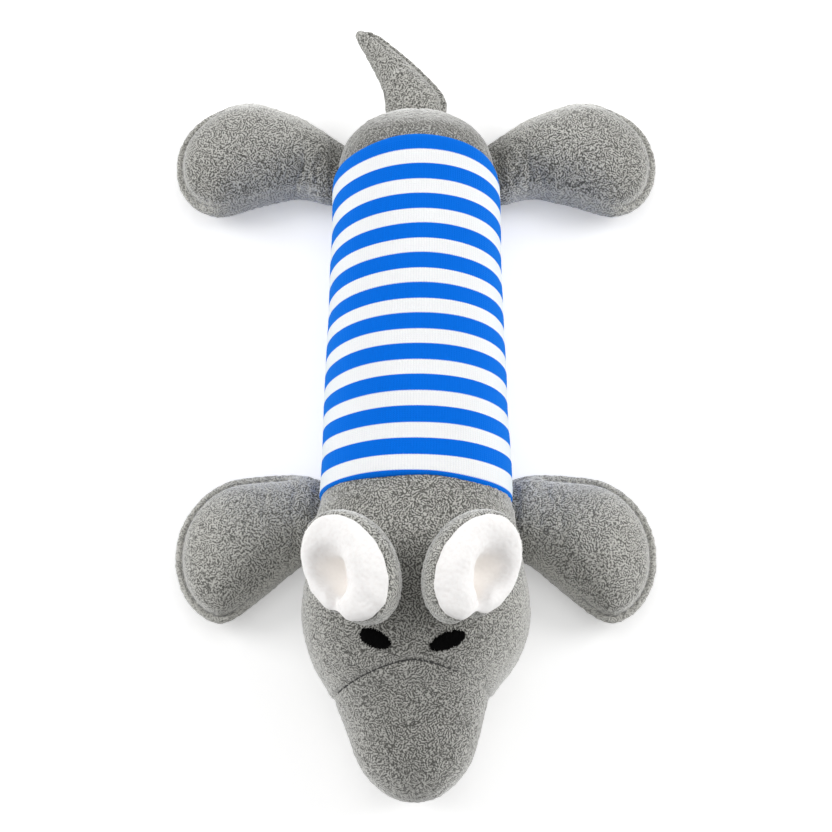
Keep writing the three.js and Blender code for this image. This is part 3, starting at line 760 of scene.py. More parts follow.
class TOY_OT_sleeve(bpy.types.Operator):
    """Striped knit sleeve, taut over the stuffed body"""

    bl_idname = "toy.sleeve"
    bl_label = "Striped sleeve"

    def execute(self, context):
        angles = ring_angles(SLEEVE_SIDES)
        rows = [*HEM]
        rows += [(place, 0.0) for place in np.linspace(HEM_END, HIP - HEM_END, SLEEVE_ROWS)]
        rows += [(HIP - place, inset) for place, inset in reversed(HEM)]
        rings = [torso_ring(course - row_shift(course, angles), inset, angles)
                 for course, inset in rows]
        points, faces = capped_rings(rings)
        piece = new_piece("striped_sleeve_knit", points, faces, "striped knit")
        edge = np.minimum(points[:, 1], HIP - points[:, 1])
        held = np.maximum(1 - eased(edge, 1.0, 9.0), 1 - eased(points[:, 2], 0.5, 4.0))
        stuff(piece, held, cap=0.8, ease=0.0, pressure=3.0)
        fabric_map(piece, SLEEVE_SIDES, [course for course, inset in rows])
        slack = Relief(31, 26.0)
        lift(piece, lambda p: 0.12 * slack.at(p) * eased(p[:, 2], 2, 12))
        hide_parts("striped_sleeve", "back_filling", "belly_filling")
        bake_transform(piece)
        return {"FINISHED"}


PLUSH_SIDES = 150
RUMP_TUCK = ((-7.0, 4.0), (-4.0, 1.7), (-1.5, 1.1), (0, 0.75))


class TOY_OT_rump(bpy.types.Operator):
    """Plush rump behind the sleeve, with its seam down the middle"""

    bl_idname = "toy.rump"
    bl_label = "Rump"

    def execute(self, context):
        angles = ring_angles(PLUSH_SIDES)
        rows = [(HIP + place, inset) for place, inset in RUMP_TUCK]
        for share in np.linspace(0.04, 0.995, 34):
            place = HIP + RUMP_LENGTH * math.sin(share * math.pi / 2)
            rows.append((place, 1.0 + 1.2 * eased(share, 0, 0.4)))
        rings = []
        for place, inset in rows:
            shift = row_shift(HIP, angles) * (1 - eased(place, HIP, HIP + RUMP_LENGTH))
            rings.append(torso_ring(place - shift, inset, angles))
        points, faces = capped_rings(rings)
        points[-1] = (0, HIP + RUMP_LENGTH, RUMP_TIP_HEIGHT)
        piece = new_piece("rump_plush", points, faces, "grey plush")
        stuff(piece, 1 - eased(points[:, 1], HIP + 1, HIP + 6), cap=0.7, ease=0.02)
        refine(piece)
        depth = 0.6 * sizes().seam_depth / MM
        lift(piece, lambda p: -depth * hump(p[:, 0] - 0.9, 0.7) * eased(p[:, 2], 14, 24), pile(11))
        # Painted shade: the rump's pile is darkened all over.
        paint_shading(piece, -0.36)
        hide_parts("rump_panel_left", "rump_panel_right")
        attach(piece, "torso")
        return {"FINISHED"}


# Head

HEAD_LENGTH = 95.0
HEAD_TUCK = -9.0
NOSE_ROUND = 16.0
NOSE_TIP_HEIGHT = 15.0
NOSE_SHIFT = 0.5
head_half = curve_through(
    (HEAD_TUCK, 24), (0, 29.2), (12, 31.1), (38, 35.0), (52, 32.0), (65.5, 24.2), (80, 18.6),
    (HEAD_LENGTH, 15.1))
head_top = curve_through(
    (HEAD_TUCK, 46), (0, 53.3), (12, 55), (38, 57), (52, 51.5), (65.5, 41.5), (80, 33),
    (HEAD_LENGTH, 28))
head_under = curve_through(
    (HEAD_TUCK, 6), (0, 1.0), (12, -1), (38, -0.5), (65.5, -0.5), (80, 1.5), (HEAD_LENGTH, 5))


def head_ring(place, angles):
    """One ring of the head at a place ahead of the neck seam, pinched at the right jaw."""
    share = rounded_end(HEAD_LENGTH - place, NOSE_ROUND)
    seam = (head_top(place) + head_under(place)) / 2
    middle = NOSE_TIP_HEIGHT + (seam - NOSE_TIP_HEIGHT) * share
    pinch = 2.0 * hump(place - 64, 8.0) * np.maximum(np.sin(angles), 0) ** 2
    x = head_half(place) * share * np.sin(angles) - NOSE_SHIFT * eased(place, 42, 60) - pinch
    rise = (head_top(place) - head_under(place)) / 2 * share
    z = off_floor(middle + rise * np.cos(angles))
    return np.stack([x, np.full_like(x, -place), z], 1)


FACE_SEAM_PLACE = 57.0
FACE_SEAM_HALF = 21.0
FACE_SEAM_DROP = 5.9
FACE_SEAM_PEAK = -0.8
FACE_SEAM_BEND = 1.5


def seam_place(x):
    """How far ahead of the neck the arched face seam runs at x."""
    out = np.abs((x - FACE_SEAM_PEAK) / FACE_SEAM_HALF)
    return FACE_SEAM_PLACE + FACE_SEAM_DROP * out ** FACE_SEAM_BEND


def face_relief(points):
    """Seam, creases and dents of the face."""
    x, place, z = points[:, 0], -points[:, 1], points[:, 2]
    out = np.abs(x - FACE_SEAM_PEAK) / FACE_SEAM_HALF
    slope = FACE_SEAM_DROP * FACE_SEAM_BEND / FACE_SEAM_HALF * np.sqrt(out)
    away = (place - seam_place(x)) / np.sqrt(1 + slope ** 2)
    clear = 1 - 0.75 * eased(x, 5, 14) * (1 - eased(x, 17, 22))
    seam = clear * (hump(away, 0.6) - 0.3 * hump(np.abs(away) - 2.6, 1.6))
    dart = 0.3 * hump(x - 10.3, 0.5) * eased(place, 52, 54) * (1 - eased(place, 57, 59))
    crease = 0.55 * hump(place - 25.5 - 0.1 * x, 0.7) * hump(x + 1.5, 5.0)
    tuck = 0.5 * hump(place - 40.3, 0.6) * hump(x + 6.5, 3.0)
    middle = 0.3 * hump(x + 1.5, 0.6) * eased(place, 6, 14) * (1 - eased(place, 30, 42))
    depth = sizes().seam_depth / MM * eased(z, 14, 26)
    return -depth * (seam + dart + crease + tuck + middle)


def head_painted_shading(points, normals):
    """Painted shade and light on the head's pile: darker on the parts that face up, between the
    ears, near the neck and on the muzzle, lighter on the cheeks.
    """
    place = -points[:, 1]
    top = eased(normals[:, 2], 0.2, 0.9)
    shade_between_ears = hump(points[:, 0] + 1.5, 6.0) * eased(place, 14, 24) * (1 - eased(place, 38, 46))
    neck_shade = 1 - eased(place, 4, 18)
    muzzle = eased(place, 52, 66)
    cheek_light = eased(points[:, 0], 8, 26) * eased(place, 26, 40) * (1 - eased(place, 56, 66))
    return 0.05 - 0.17 * top - 0.1 * shade_between_ears - 0.06 * neck_shade - 0.04 * muzzle + 0.15 * cheek_light


class TOY_OT_head(bpy.types.Operator):
    """Plush head over its stuffing, from the neck to the nose"""

    bl_idname = "toy.head"
    bl_label = "Head"

    def execute(self, context):
        angles = ring_angles(PLUSH_SIDES)
        bridge = HEAD_LENGTH - NOSE_ROUND
        turn = np.linspace(0, 0.993, 25)[1:] * math.pi / 2
        places = [*np.linspace(HEAD_TUCK, bridge, 92), *(bridge + NOSE_ROUND * np.sin(turn))]
        points, faces = capped_rings([head_ring(place, angles) for place in places])
        points[-1] = (-NOSE_SHIFT, -HEAD_LENGTH, NOSE_TIP_HEIGHT)
        piece = new_piece("head_plush", points, faces, "grey plush")
        place = -points[:, 1]
        seam = hump(place - seam_place(points[:, 0]), 2.0) * 0.3
        held = np.maximum(1 - eased(place, 1, 8), seam)
        stuff(piece, np.maximum(held, 1 - eased(points[:, 2], 0.5, 4)), cap=0.8, ease=0.02)
        refine(piece)
        lift(piece, face_relief, pile(21))
        # Painted light and shade on the head's pile.
        paint_shading(piece, head_painted_shading(points_of(piece), normals_of(piece)))
        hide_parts("forehead_panel", "muzzle_panel", "chin_panel", "head_filling")
        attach(piece, "head")
        return {"FINISHED"}


EYES = {
    "left": {"x": -12.3, "place": 51.2, "slant": 27.0, "length": 9.4, "width": 4.7},
    "right": {"x": 9.5, "place": 51.8, "slant": -20.0, "length": 10.8, "width": 4.3},
}
EYE_LAYERS = ((0.42, 0.42, 0.85, -0.6), (0.36, 0.85, 1.0, 0.9))  # pitch, height, reach and skew
EYE_THREAD = 0.27
SEAM_THREAD = 0.24
SEAM_STITCH = 1.55
SEAM_PITCH = 1.75


class TOY_OT_face(bpy.types.Operator):
    """Embroidered eyes and the thread of the face seam"""

    bl_idname = "toy.face"
    bl_label = "Eyes and face seam"

    def execute(self, context):
        ground = Ground(bpy.data.objects["head_plush"])
        for side, eye in EYES.items():
            self.sew_eye(ground, side, eye)
        self.sew_seam(ground)
        return {"FINISHED"}

    def sew_eye(self, ground, side, eye):
        """Satin stitches laid side by side across the eye, over a padded layer."""
        rng = np.random.default_rng(len(side))
        slant = math.radians(eye["slant"])
        along = np.array([math.cos(slant), -math.sin(slant)])
        across = np.array([math.sin(slant), math.cos(slant)])
        middle = np.array([eye["x"], -eye["place"]])
        half = eye["length"] / 2
        shares = np.linspace(-1, 1, 9)
        paths = []
        for pitch, height, spread, lean in EYE_LAYERS:
            for offset in np.arange(-half + 0.2, half - 0.1, pitch):
                reach = eye["width"] / 2 * math.sqrt(max(0, 1 - (offset / half) ** 2))
                reach = reach * spread + rng.uniform(-0.12, 0.5)
                skew = rng.uniform(-0.25, 0.25) + lean
                spots = [middle + along * (offset + skew * share * 0.5) + across * (reach * share)
                         for share in shares]
                paths.append(ground.laid(spots, height * (1 - shares ** 4) - 0.25))
        piece = thread_mesh(f"{side}_eye_stitches", paths, EYE_THREAD, "eye thread")
        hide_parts(f"{side}_eye")
        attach(piece, "head")

    def sew_seam(self, ground):
        """Dark stitches at the bottom of the face seam, sunk deeper towards its right end."""
        shares = np.linspace(0, 1, 6)
        paths = []
        for start in np.arange(-24.0, 12.0, SEAM_PITCH):
            x = start + SEAM_STITCH * shares
            sunk = 0.04 + 0.016 * np.maximum(0.0, x)
            heights = 0.14 * np.sin(math.pi * shares) - sunk
            paths.append(ground.laid(zip(x, -seam_place(x)), heights))
        piece = thread_mesh("face_seam_stitches", paths, SEAM_THREAD, "seam thread")
        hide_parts("face_seam_thread")
        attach(piece, "head")


# Ears

EAR_LENGTH = 36.4
EAR_WIDTH = 24.4
EAR_DEPTH = 15.0
EAR_WALL = 11.5
EAR_BULGE = 2.7
EAR_SIDES = 112
EAR_FOOT = ((0.4, -3.0), (4.0, -2.6), (5.4, -0.8))
HOLLOW_DEPTH = 9.0
CLEFT_WIDTH = 10.0
EARS = {
    "left": {
        "lean": -24.0, "turn": 34.0, "lateral": -1, "cleft": (-9.0, 1.4), "hollow": (3.4, 0.3)},
    "right": {
        "lean": 24.0, "turn": -34.0, "lateral": 1, "cleft": (-4.0, 2.8), "hollow": (2.6, 0.5)},
}
HOLLOW_START = -98
hollow_reach = curve_through(
    (HOLLOW_START, 9.3), (-78, 6.1), (-33, 5.0), (30, 6.4), (85, 4.3), (150, 3.4), (210, 4.5),
    (250, 8.0), (HOLLOW_START + 360, 9.3))


class TOY_OT_ears(bpy.types.Operator):
    """Plush cups lined with thick white fleece"""

    bl_idname = "toy.ears"
    bl_label = "Ears"

    def execute(self, context):
        self.angles = ring_angles(EAR_SIDES)
        for side, ear in EARS.items():
            self.foot = hinge_of(f"{side}_ear_fold")
            self.lean = math.radians(ear["lean"])
            self.up = np.array([math.sin(self.lean), 0, math.cos(self.lean)])
            place, depth = ear["cleft"]
            self.notch = hump(np.degrees(self.angles) - place, CLEFT_WIDTH)
            self.rim = self.oval(ear["turn"]) - depth * self.notch
            back = self.angles + ear["lateral"] * math.radians(165)
            self.bulge = EAR_BULGE * np.cos(back / 2) ** 2
            self.sew_back(side)
            self.sew_lining(side, ear)
        return {"FINISHED"}

    def oval(self, turn):
        """Distance of the mouth's edge from its middle, its length turned by some degrees."""
        angles = self.angles - math.radians(turn)
        long, wide = np.cos(angles) / (EAR_LENGTH / 2), np.sin(angles) / (EAR_WIDTH / 2)
        return 1 / np.sqrt(long ** 2 + wide ** 2)

    def stand(self, local):
        """From the ear's own frame, x to its front and z out of its mouth, to the toy's."""
        x, y, z = np.asarray(local, float).T
        cosine, sine = math.cos(self.lean), math.sin(self.lean)
        turned = np.stack([y * cosine + z * sine, -x, -y * sine + z * cosine], 1)
        return turned + self.foot

    def ring(self, distance, height):
        distance = np.broadcast_to(distance, self.angles.shape)
        flat = np.stack([distance * np.cos(self.angles), distance * np.sin(self.angles)], 1)
        return np.column_stack([flat, np.broadcast_to(height, self.angles.shape)])

    def bowl(self, inset, low, shares):
        """Rings of a round bowl that ends at the ear's mouth."""
        for turn in shares * math.pi / 2:
            height = low + (EAR_DEPTH - low) * (1 - math.cos(turn))
            yield self.ring((self.rim - inset) * math.sin(turn), height)

    def sew_back(self, side):
        rings = [self.ring(distance, height) for distance, height in EAR_FOOT]
        for turn in np.linspace(0.36, 1, 20) * math.pi / 2:
            wall = (self.rim + self.bulge) * math.sin(turn) ** 0.8
            rings.append(self.ring(wall, EAR_WALL * (1 - math.cos(turn))))
        for share in (0.25, 0.5, 0.75, 1.0):
            wall = self.rim + self.bulge * (1 - 0.55 * share ** 2)
            rings.append(self.ring(wall, EAR_WALL + (3.6 - 1.2 * self.notch) * share))
        rings.append(self.ring(self.rim + 0.1, 15.7 - 1.4 * self.notch))
        rings.append(self.ring(self.rim - 0.8, 15.5 - 1.6 * self.notch))
        rings += self.bowl(2.4, 2.0, np.linspace(1, 0.15, 12))
        points, faces = capped_rings([self.stand(ring) for ring in rings])
        piece = new_piece(f"{side}_ear_plush", points, faces, "grey plush")
        refine(piece)
        lift(piece, pile(41 + len(side)))
        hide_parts(f"{side}_ear_back")
        sew_on(piece, "head", self.foot, -3.0 * self.up, 2.0 * self.up)

    def sew_lining(self, side, ear):
        """A fat roll on the side towards the head's middle, thin outside, round a deep hollow."""
        lateral = ear["lateral"]
        outward, rearward = ear["hollow"]
        hollow = np.array([-rearward, lateral * outward])
        cosine, sine = np.cos(self.angles), np.sin(self.angles)
        around = np.stack([cosine, sine], 1)
        rim = around * (self.rim + 0.15)[:, None]
        bearing = np.degrees(np.arctan2(-cosine, lateral * sine))
        reach = hollow_reach((bearing - HOLLOW_START) % 360 + HOLLOW_START)
        edge = hollow + around * reach[:, None]
        inward = 0.5 - 0.5 * lateral * sine
        roll = sizes().ear_roll / MM * (0.4 + 0.7 * inward) * (1 - 0.9 * self.notch)
        rings = [*self.bowl(2.6, 2.6, np.linspace(0.1, 0.97, 12))]
        rings.append(self.ring(self.rim - 1.0, EAR_DEPTH + 0.3))
        for share in np.linspace(0.0, 1.0, 24):
            bulge = math.sin(math.pi * min(1.0, share / 0.9) * 0.5) ** 0.7 * (1 - share ** 6)
            dip = 4.5 * share ** 2 * (1 - inward) + 2.5 * share ** 3 * self.notch
            height = EAR_DEPTH + 0.7 + roll * bulge - dip
            rings.append(np.column_stack([rim + (edge - rim) * share ** 1.25, height]))
        low, brim = EAR_DEPTH - HOLLOW_DEPTH, rings[-1][:, 2]
        for share in np.linspace(0.94, 0.03, 12):
            flat = hollow + (edge - hollow) * (0.35 * share + 0.65 * share ** 0.5)
            height = low + (brim - low) * share ** (1.1 + 1.8 * inward)
            rings.append(np.column_stack([flat, height]))
        points, faces = capped_rings([self.stand(ring) for ring in rings])
        piece = new_piece(f"{side}_ear_fleece", points, faces, "white fleece")
        refine(piece)
        tufts, lumps = Relief(51 + len(side), 1.7), Relief(61 + len(side), 6.0)
        lift(piece, lambda p: 0.03 * tufts.at(p) + 0.08 * lumps.at(p))
        # Depth in the hollow, which sets where the fleece takes its painted warm light.
        below = EAR_DEPTH - (points_of(piece) - self.foot) @ self.up
        mark(piece, "hollow", eased(below, 0.5, 6.0))
        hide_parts(f"{side}_ear_lining")
        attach(piece, f"{side}_ear")


# Limbs and tail: flat stuffed forms with a sewn edge

EDGE_STEPS = np.array([0, 0.3, 0.75, 1.25, 1.75, 2.15, 2.5, 2.9, 3.5, 4.4]) / 2.4  # of the flange
CROWN_STEPS = 13


class Paddle:
    """Plan and height of a flat stuffed form, measured outward from its root."""

    def __init__(self, start, reach, spine_end, middle, half, rise, drop, flange, rows, tips):
        self.start, self.reach, self.spine_end = start, reach, spine_end
        self.middle, self.half = middle, half
        self.rise, self.drop = rise, drop
        self.flange = flange
        self.rows, self.tips = rows, tips

    def spokes(self):
        """Outline points, each with the inner point that its spoke runs to and its side."""
        places = np.linspace(self.start, self.spine_end, self.rows)
        turns = np.linspace(0, math.pi / 2, self.tips // 2 + 1)[1:]
        tips = self.spine_end + (self.reach - self.spine_end) * np.sin(turns)
        ends = [(place, place) for place in places] + [(tip, self.spine_end) for tip in tips]
        sided = [(*end, -1) for end in ends] + [(*end, 1) for end in ends[-2::-1]]
        for place, inner, side in sided:
            edge = float(self.middle(place) + side * self.half(place))
            yield np.array([place, edge]), np.array([inner, float(self.middle(inner))]), side

    def insets(self, width, flange):
        """Distances in from the outline, close together over the flange."""
        near = EDGE_STEPS * flange
        near = near * min(1.0, 0.5 * width / max(near[-1], 1e-6))
        return np.concatenate([near, np.linspace(near[-1], width, CROWN_STEPS)[1:]])

    def height(self, inset, width, crown, strength):
        """Height above the sewn edge at distances in from the outline."""
        flange = sizes().flange / MM
        thick = sizes().flange_thickness / MM
        edge = thick * np.sqrt(np.clip(1 - (1 - np.minimum(inset / (0.55 * thick), 1)) ** 2, 0, 1))
        share = np.clip((inset - flange * strength) / max(width - flange * strength, 1e-6), 0, 1)
        dome = (crown - thick) * np.sqrt(np.clip(1 - (1 - share) ** 2, 0, 1)) ** 1.25
        groove = 0.9 * strength * hump(inset - flange, 0.42)
        return np.maximum(edge + dome - groove, 0)

    def build(self):
        """Points, faces, pin weights, and the stitch line with its strength."""
        flange = sizes().flange / MM
        top, low, held, line = [], [], [], []
        for outline, inner, side in self.spokes():
            width = float(np.linalg.norm(inner - outline))
            inset = self.insets(width, flange)
            way = (inner - outline) / max(width, 1e-6)
            flat = outline + inset[:, None] * way
            strength = self.flange(outline[0], side)
            place = min(outline[0], self.spine_end)
            above = self.height(inset, width, float(self.rise(place)), strength)
            below = self.height(inset, width, float(self.drop(place)), strength)
            top.append(np.column_stack([flat, above]))
            low.append(np.column_stack([flat, -below]))
            root = 1 - eased(outline[0], -2, 3)
            held.append(np.maximum(1 - eased(inset, flange, flange + 1.5), root))
            line.append((*(outline + way * flange), strength))
        rows, columns = len(top), len(top[0])
        gap = rows * columns
        faces = grid_faces(rows, columns) + grid_faces(rows, columns, first=gap)
        for column in range(columns - 1):
            for here in (column, gap - columns + column):
                faces.append((here, here + 1, here + 1 + gap, here + gap))
        points, faces, keep = merged(np.concatenate(top + low), faces)
        return points, faces, np.concatenate(held + held)[keep], np.array(line)


ROOT = -11.0
# The shading value lightens the front limbs' pile and darkens the rear ones': painted light and
# painted shade over a whole limb.
FRONT = {
    "reach": 45.4, "round": 22.0, "painted_shading": 0.045,
    "half": ((ROOT, 6.5), (-5, 10.8), (0, 13.0), (6, 15.5), (13.7, 18.7), (18.7, 20.7), (26, 23.1),
             (32, 24.2), (45, 23.6)),
    "sweep": ((ROOT, 0), (0, 0), (6, 1.0), (13.7, 4.3), (18.7, 6.7), (26, 9.9), (32, 11.7),
              (45, 12.9)),
}
REAR = {
    "reach": 52.4, "round": 22.5, "painted_shading": -0.05,
    "half": ((ROOT, 6.0), (-5, 9.8), (0, 11.8), (10, 14.0), (19, 16.8), (27, 18.9), (38, 20.2),
             (52.3, 20.9)),
    "sweep": ((ROOT, 2.5), (-5, 1.2), (0, -0.4), (10, -4.8), (19, -5.9), (27, -5.9), (38, -3.4),
              (52.3, -1.7)),
}
LIMB_HEIGHT = 8.0
STITCH_PITCH = 1.22
STITCH_SHOWS = 0.35


def front_flange(place, side):
    """The front limbs' flange runs along the back edge and round the tip."""
    return float(eased(place, 3, 12) if side > 0 else eased(place, 14, 30))


def rear_flange(place, side):
    """The rear limbs' flange shows only towards the tip."""
    return float(0.2 * eased(place, 8, 16) + 0.7 * eased(place, 34, 46))


LIMBS = {  # plan, side, yaw in degrees, carrier and flange
    "front_left": (FRONT, -1, 0.0, "head", front_flange),
    "front_right": (FRONT, 1, 0.0, "head", front_flange),
    "rear_left": (REAR, -1, 0.0, "torso", rear_flange),
    "rear_right": (REAR, 1, 0.2, "torso", rear_flange),
}


class TOY_OT_limbs(bpy.types.Operator):
    """Four flat plush limbs with topstitched edges"""

    bl_idname = "toy.limbs"
    bl_label = "Limbs"

    def execute(self, context):
        for seed, (name, limb) in enumerate(LIMBS.items()):
            self.sew(name, 71 + 3 * seed, *limb)
        return {"FINISHED"}

    def paddle(self, plan, flange):
        reach = plan["reach"]
        half, sweep = curve_through(*plan["half"]), curve_through(*plan["sweep"])
        tip_middle = float(sweep(reach))

        def share(place):
            return rounded_end(reach - place, plan["round"])

        return Paddle(
            ROOT, reach, reach - 0.8 * plan["round"],
            lambda place: -(tip_middle + (sweep(place) - tip_middle) * share(place)),
            lambda place: half(place) * share(place),
            curve_through((ROOT, 4.0), (0, 7.0), (20, 11.6), (reach, 12.4)),
            curve_through((ROOT, 2.0), (-5, 4.4), (0, 6.8), (20, 8.6), (reach, 8.6)),
            flange, rows=52, tips=56)

    def sew(self, name, seed, plan, side, yaw, carrier, flange):
        points, faces, held, line = self.paddle(plan, flange).build()
        self.hinge, self.side = hinge_of(f"{name}_limb_flap"), side
        self.cosine, self.sine = math.cos(math.radians(yaw)), math.sin(math.radians(yaw))
        points = self.lay(points)
        piece = new_piece(f"{name}_limb_plush", points, faces, "grey plush")
        # Painted shade in the crease at the limb's root and painted light on the flange along its
        # edge, on top of the limb's own painted shading.
        crease = 1 - eased(side * (points[:, 0] - self.hinge[0]), -1, 7)
        rim = (1 - crease) * held * eased(points[:, 2], 7, 8.5)
        paint_shading(piece, plan["painted_shading"] + 0.3 * rim - 0.22 * crease)
        stuff(piece, np.maximum(held, 1 - eased(points[:, 2], 0.3, 2.5)), cap=1.0, ease=0.04)
        refine(piece)
        lift(piece, self.wrinkles(name), pile(seed))
        parts = ("upper_panel", "lower_panel", "filling")
        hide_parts(*[f"{name}_limb_{part}" for part in parts])
        stitches = self.topstitch(name, piece, line)
        way = side * np.array([self.cosine, self.sine, 0])
        for made in (piece, stitches):
            sew_on(made, carrier, self.hinge, -3.0 * way, 9.0 * way)

    def lay(self, local):
        """From outward, across and up from the hinge to the toy's frame."""
        out, across, up = np.asarray(local, float).T
        x = self.side * out * self.cosine - across * self.sine
        y = self.side * out * self.sine + across * self.cosine
        return np.stack([x + self.hinge[0], y + self.hinge[1], off_floor(up + LIMB_HEIGHT)], 1)

    def wrinkles(self, name):
        """Short creases where the limb narrows to its root."""
        rng = np.random.default_rng(len(name) * 7 + (self.side > 0))
        marks = [(rng.uniform(2, 17), rng.uniform(-1, 1), rng.uniform(-0.5, 0.5)) for _ in range(5)]

        def relief(points):
            out = self.side * (points[:, 0] - self.hinge[0])
            across = points[:, 1] - self.hinge[1]
            near = sum(hump(out - place - slant * across, 0.9) * hump(across - 9 * lie, 4.0)
                       for place, lie, slant in marks)
            return -0.35 * near * eased(points[:, 2], 8, 12)

        return relief

    def topstitch(self, name, piece, line):
        """Grey stitches along the flange, sunk into the pile."""
        ground = Ground(piece)
        flat = self.lay(line * [1, 1, 0])[:, :2]
        steps = np.linalg.norm(np.diff(flat, axis=0), axis=1)
        along = np.concatenate([[0], np.cumsum(steps)])
        length = sizes().stitch / MM
        shares = np.linspace(0, 1, 6)
        heights = 0.22 * np.sin(math.pi * shares) - 0.12
        paths = []
        for start in np.arange(1.0, along[-1] - length, length * STITCH_PITCH):
            if np.interp(start, along, line[:, 2]) < STITCH_SHOWS:
                continue
            x, y = (np.interp(start + length * shares, along, axis) for axis in flat.T)
            paths.append(ground.laid(zip(x, y), heights))
        thick = sizes().thread / MM / 2
        made = thread_mesh(f"{name}_limb_topstitch", paths, thick, "grey stitch")
        return made


TAIL_ROOT = -9.0
TAIL_LENGTH = 24.0
TAIL_ROUND = 4.0
tail_middle = curve_through((TAIL_ROOT, 0), (0, 0.6), (11.5, 7.8), (TAIL_LENGTH, 18.2))
tail_width = curve_through(
    (TAIL_ROOT, 6.5), (-7, 9.6), (-3, 10.4), (0, 10.1), (11.5, 7.5), (TAIL_LENGTH, 3.6))
tail_rise = curve_through((TAIL_ROOT, 4.0), (-6, 6.3), (0, 7.0), (TAIL_LENGTH, 3.6))


def tail_half(place):
    return tail_width(place) * rounded_end(TAIL_LENGTH - place, TAIL_ROUND, 2.4)


def tail_flange(place, side):
    return 0.3 if side > 0 else 0.85


class TOY_OT_tail(bpy.types.Operator):
    """Horn-shaped tail with a sewn ridge down its right edge"""

    bl_idname = "toy.tail"
    bl_label = "Tail"

    def execute(self, context):
        hinge = hinge_of("tail_lift")
        paddle = Paddle(
            TAIL_ROOT, TAIL_LENGTH, TAIL_LENGTH - 0.85 * TAIL_ROUND, tail_middle, tail_half,
            tail_rise, tail_rise, tail_flange, rows=44, tips=24)
        points, faces, held, _ = paddle.build()
        out, across, up = points.T
        points = np.stack([hinge[0] - across, hinge[1] + out, hinge[2] + up], 1)
        piece = new_piece("tail_plush", points, faces, "grey plush")
        stuff(piece, held, cap=0.8, ease=0.04)
        refine(piece)

        def fold(points):
            x, place, z = (points - hinge).T
            away = x + tail_middle(place) - 0.8
            return -0.6 * hump(away, 0.8) * eased(place, 4, 9) * (z > 0)

        lift(piece, fold, pile(91))
        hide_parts("tail_upper_panel", "tail_lower_panel", "tail_filling")
        sew_on(piece, "torso", hinge, np.array([0, -4.0, 0]), np.array([0, 6.0, 0]))
        return {"FINISHED"}


BELLOWS_FOLDS = 3
BELLOWS_DEPTH = 2.2
BELLOWS_WALL = 1.2
BELLOWS_SIDES = 72


class TOY_OT_squeaker(bpy.types.Operator):
    """Vinyl squeaker inside the stuffing, with folded bellows"""

    bl_idname = "toy.squeaker"
    bl_label = "Squeaker"

    def execute(self, context):
        for part in ("crown", "base", "reed_plug", "reed"):
            node = frame["nodes"][f"squeaker_{part}"]
            node.data.materials.clear()
            node.data.materials.append(material("squeaker vinyl"))
        self.mould_bellows()
        return {"FINISHED"}

    def mould_bellows(self):
        """A round wall with soft folds, open at both ends."""
        low, high = (np.array(corner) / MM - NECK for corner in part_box("squeaker_bellows"))
        middle = (low + high) / 2
        radius = (high[0] - low[0]) / 2
        height = high[2] - low[2]
        rows = np.linspace(0, 1, 8 * BELLOWS_FOLDS + 1)
        wave = BELLOWS_DEPTH * (0.5 - 0.5 * np.cos(2 * math.pi * BELLOWS_FOLDS * rows))
        wall = [(radius - inset, share) for inset, share in zip(wave, rows)]
        lining = [(distance - BELLOWS_WALL, share) for distance, share in reversed(wall)]
        turn = np.linspace(0, 2 * math.pi, BELLOWS_SIDES, endpoint=False)
        rings = []
        for distance, share in wall + lining + wall[:1]:
            flat = np.stack([distance * np.cos(turn), distance * np.sin(turn)], 1) + middle[:2]
            rings.append(np.column_stack([flat, np.full(len(turn), low[2] + height * share)]))
        faces = grid_faces(len(rings), BELLOWS_SIDES, True)
        points, faces, _ = merged(np.concatenate(rings), faces)
        piece = new_piece("squeaker_bellows_folds", points, faces, "squeaker vinyl")
        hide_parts("squeaker_bellows")
        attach(piece, "torso")
        stroke = JOINTS["squeaker_press"]["range_m"][1] / MM
        anchor = (middle * [1, 1, 0] + [0, 0, low[2]] + NECK) * MM
        1 - stroke / height
        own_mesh(piece)


# Stage

CAMERA_LIFT = 74.0
CAMERA_DISTANCE = 800.0
CAMERA_LENS = 112.5
CAMERA_TARGET = (0.0, 18.0, 53.0)
FLOOR_HALF = 6.0
FLOOR_GLOW = 0.32
GLOW_NEAR, GLOW_FAR = 0.25, 0.9
AMBIENT = 0.37
LAMPS = [  # name, place, size and power
    ("left lamp", (-1.35, 0.38, 0.8), 0.9, 14.2),
    ("right lamp", (1.35, 0.38, 0.8), 0.9, 15.2),
    ("top lamp", (0.0, 0.4, 1.6), 1.3, 4.4),
]


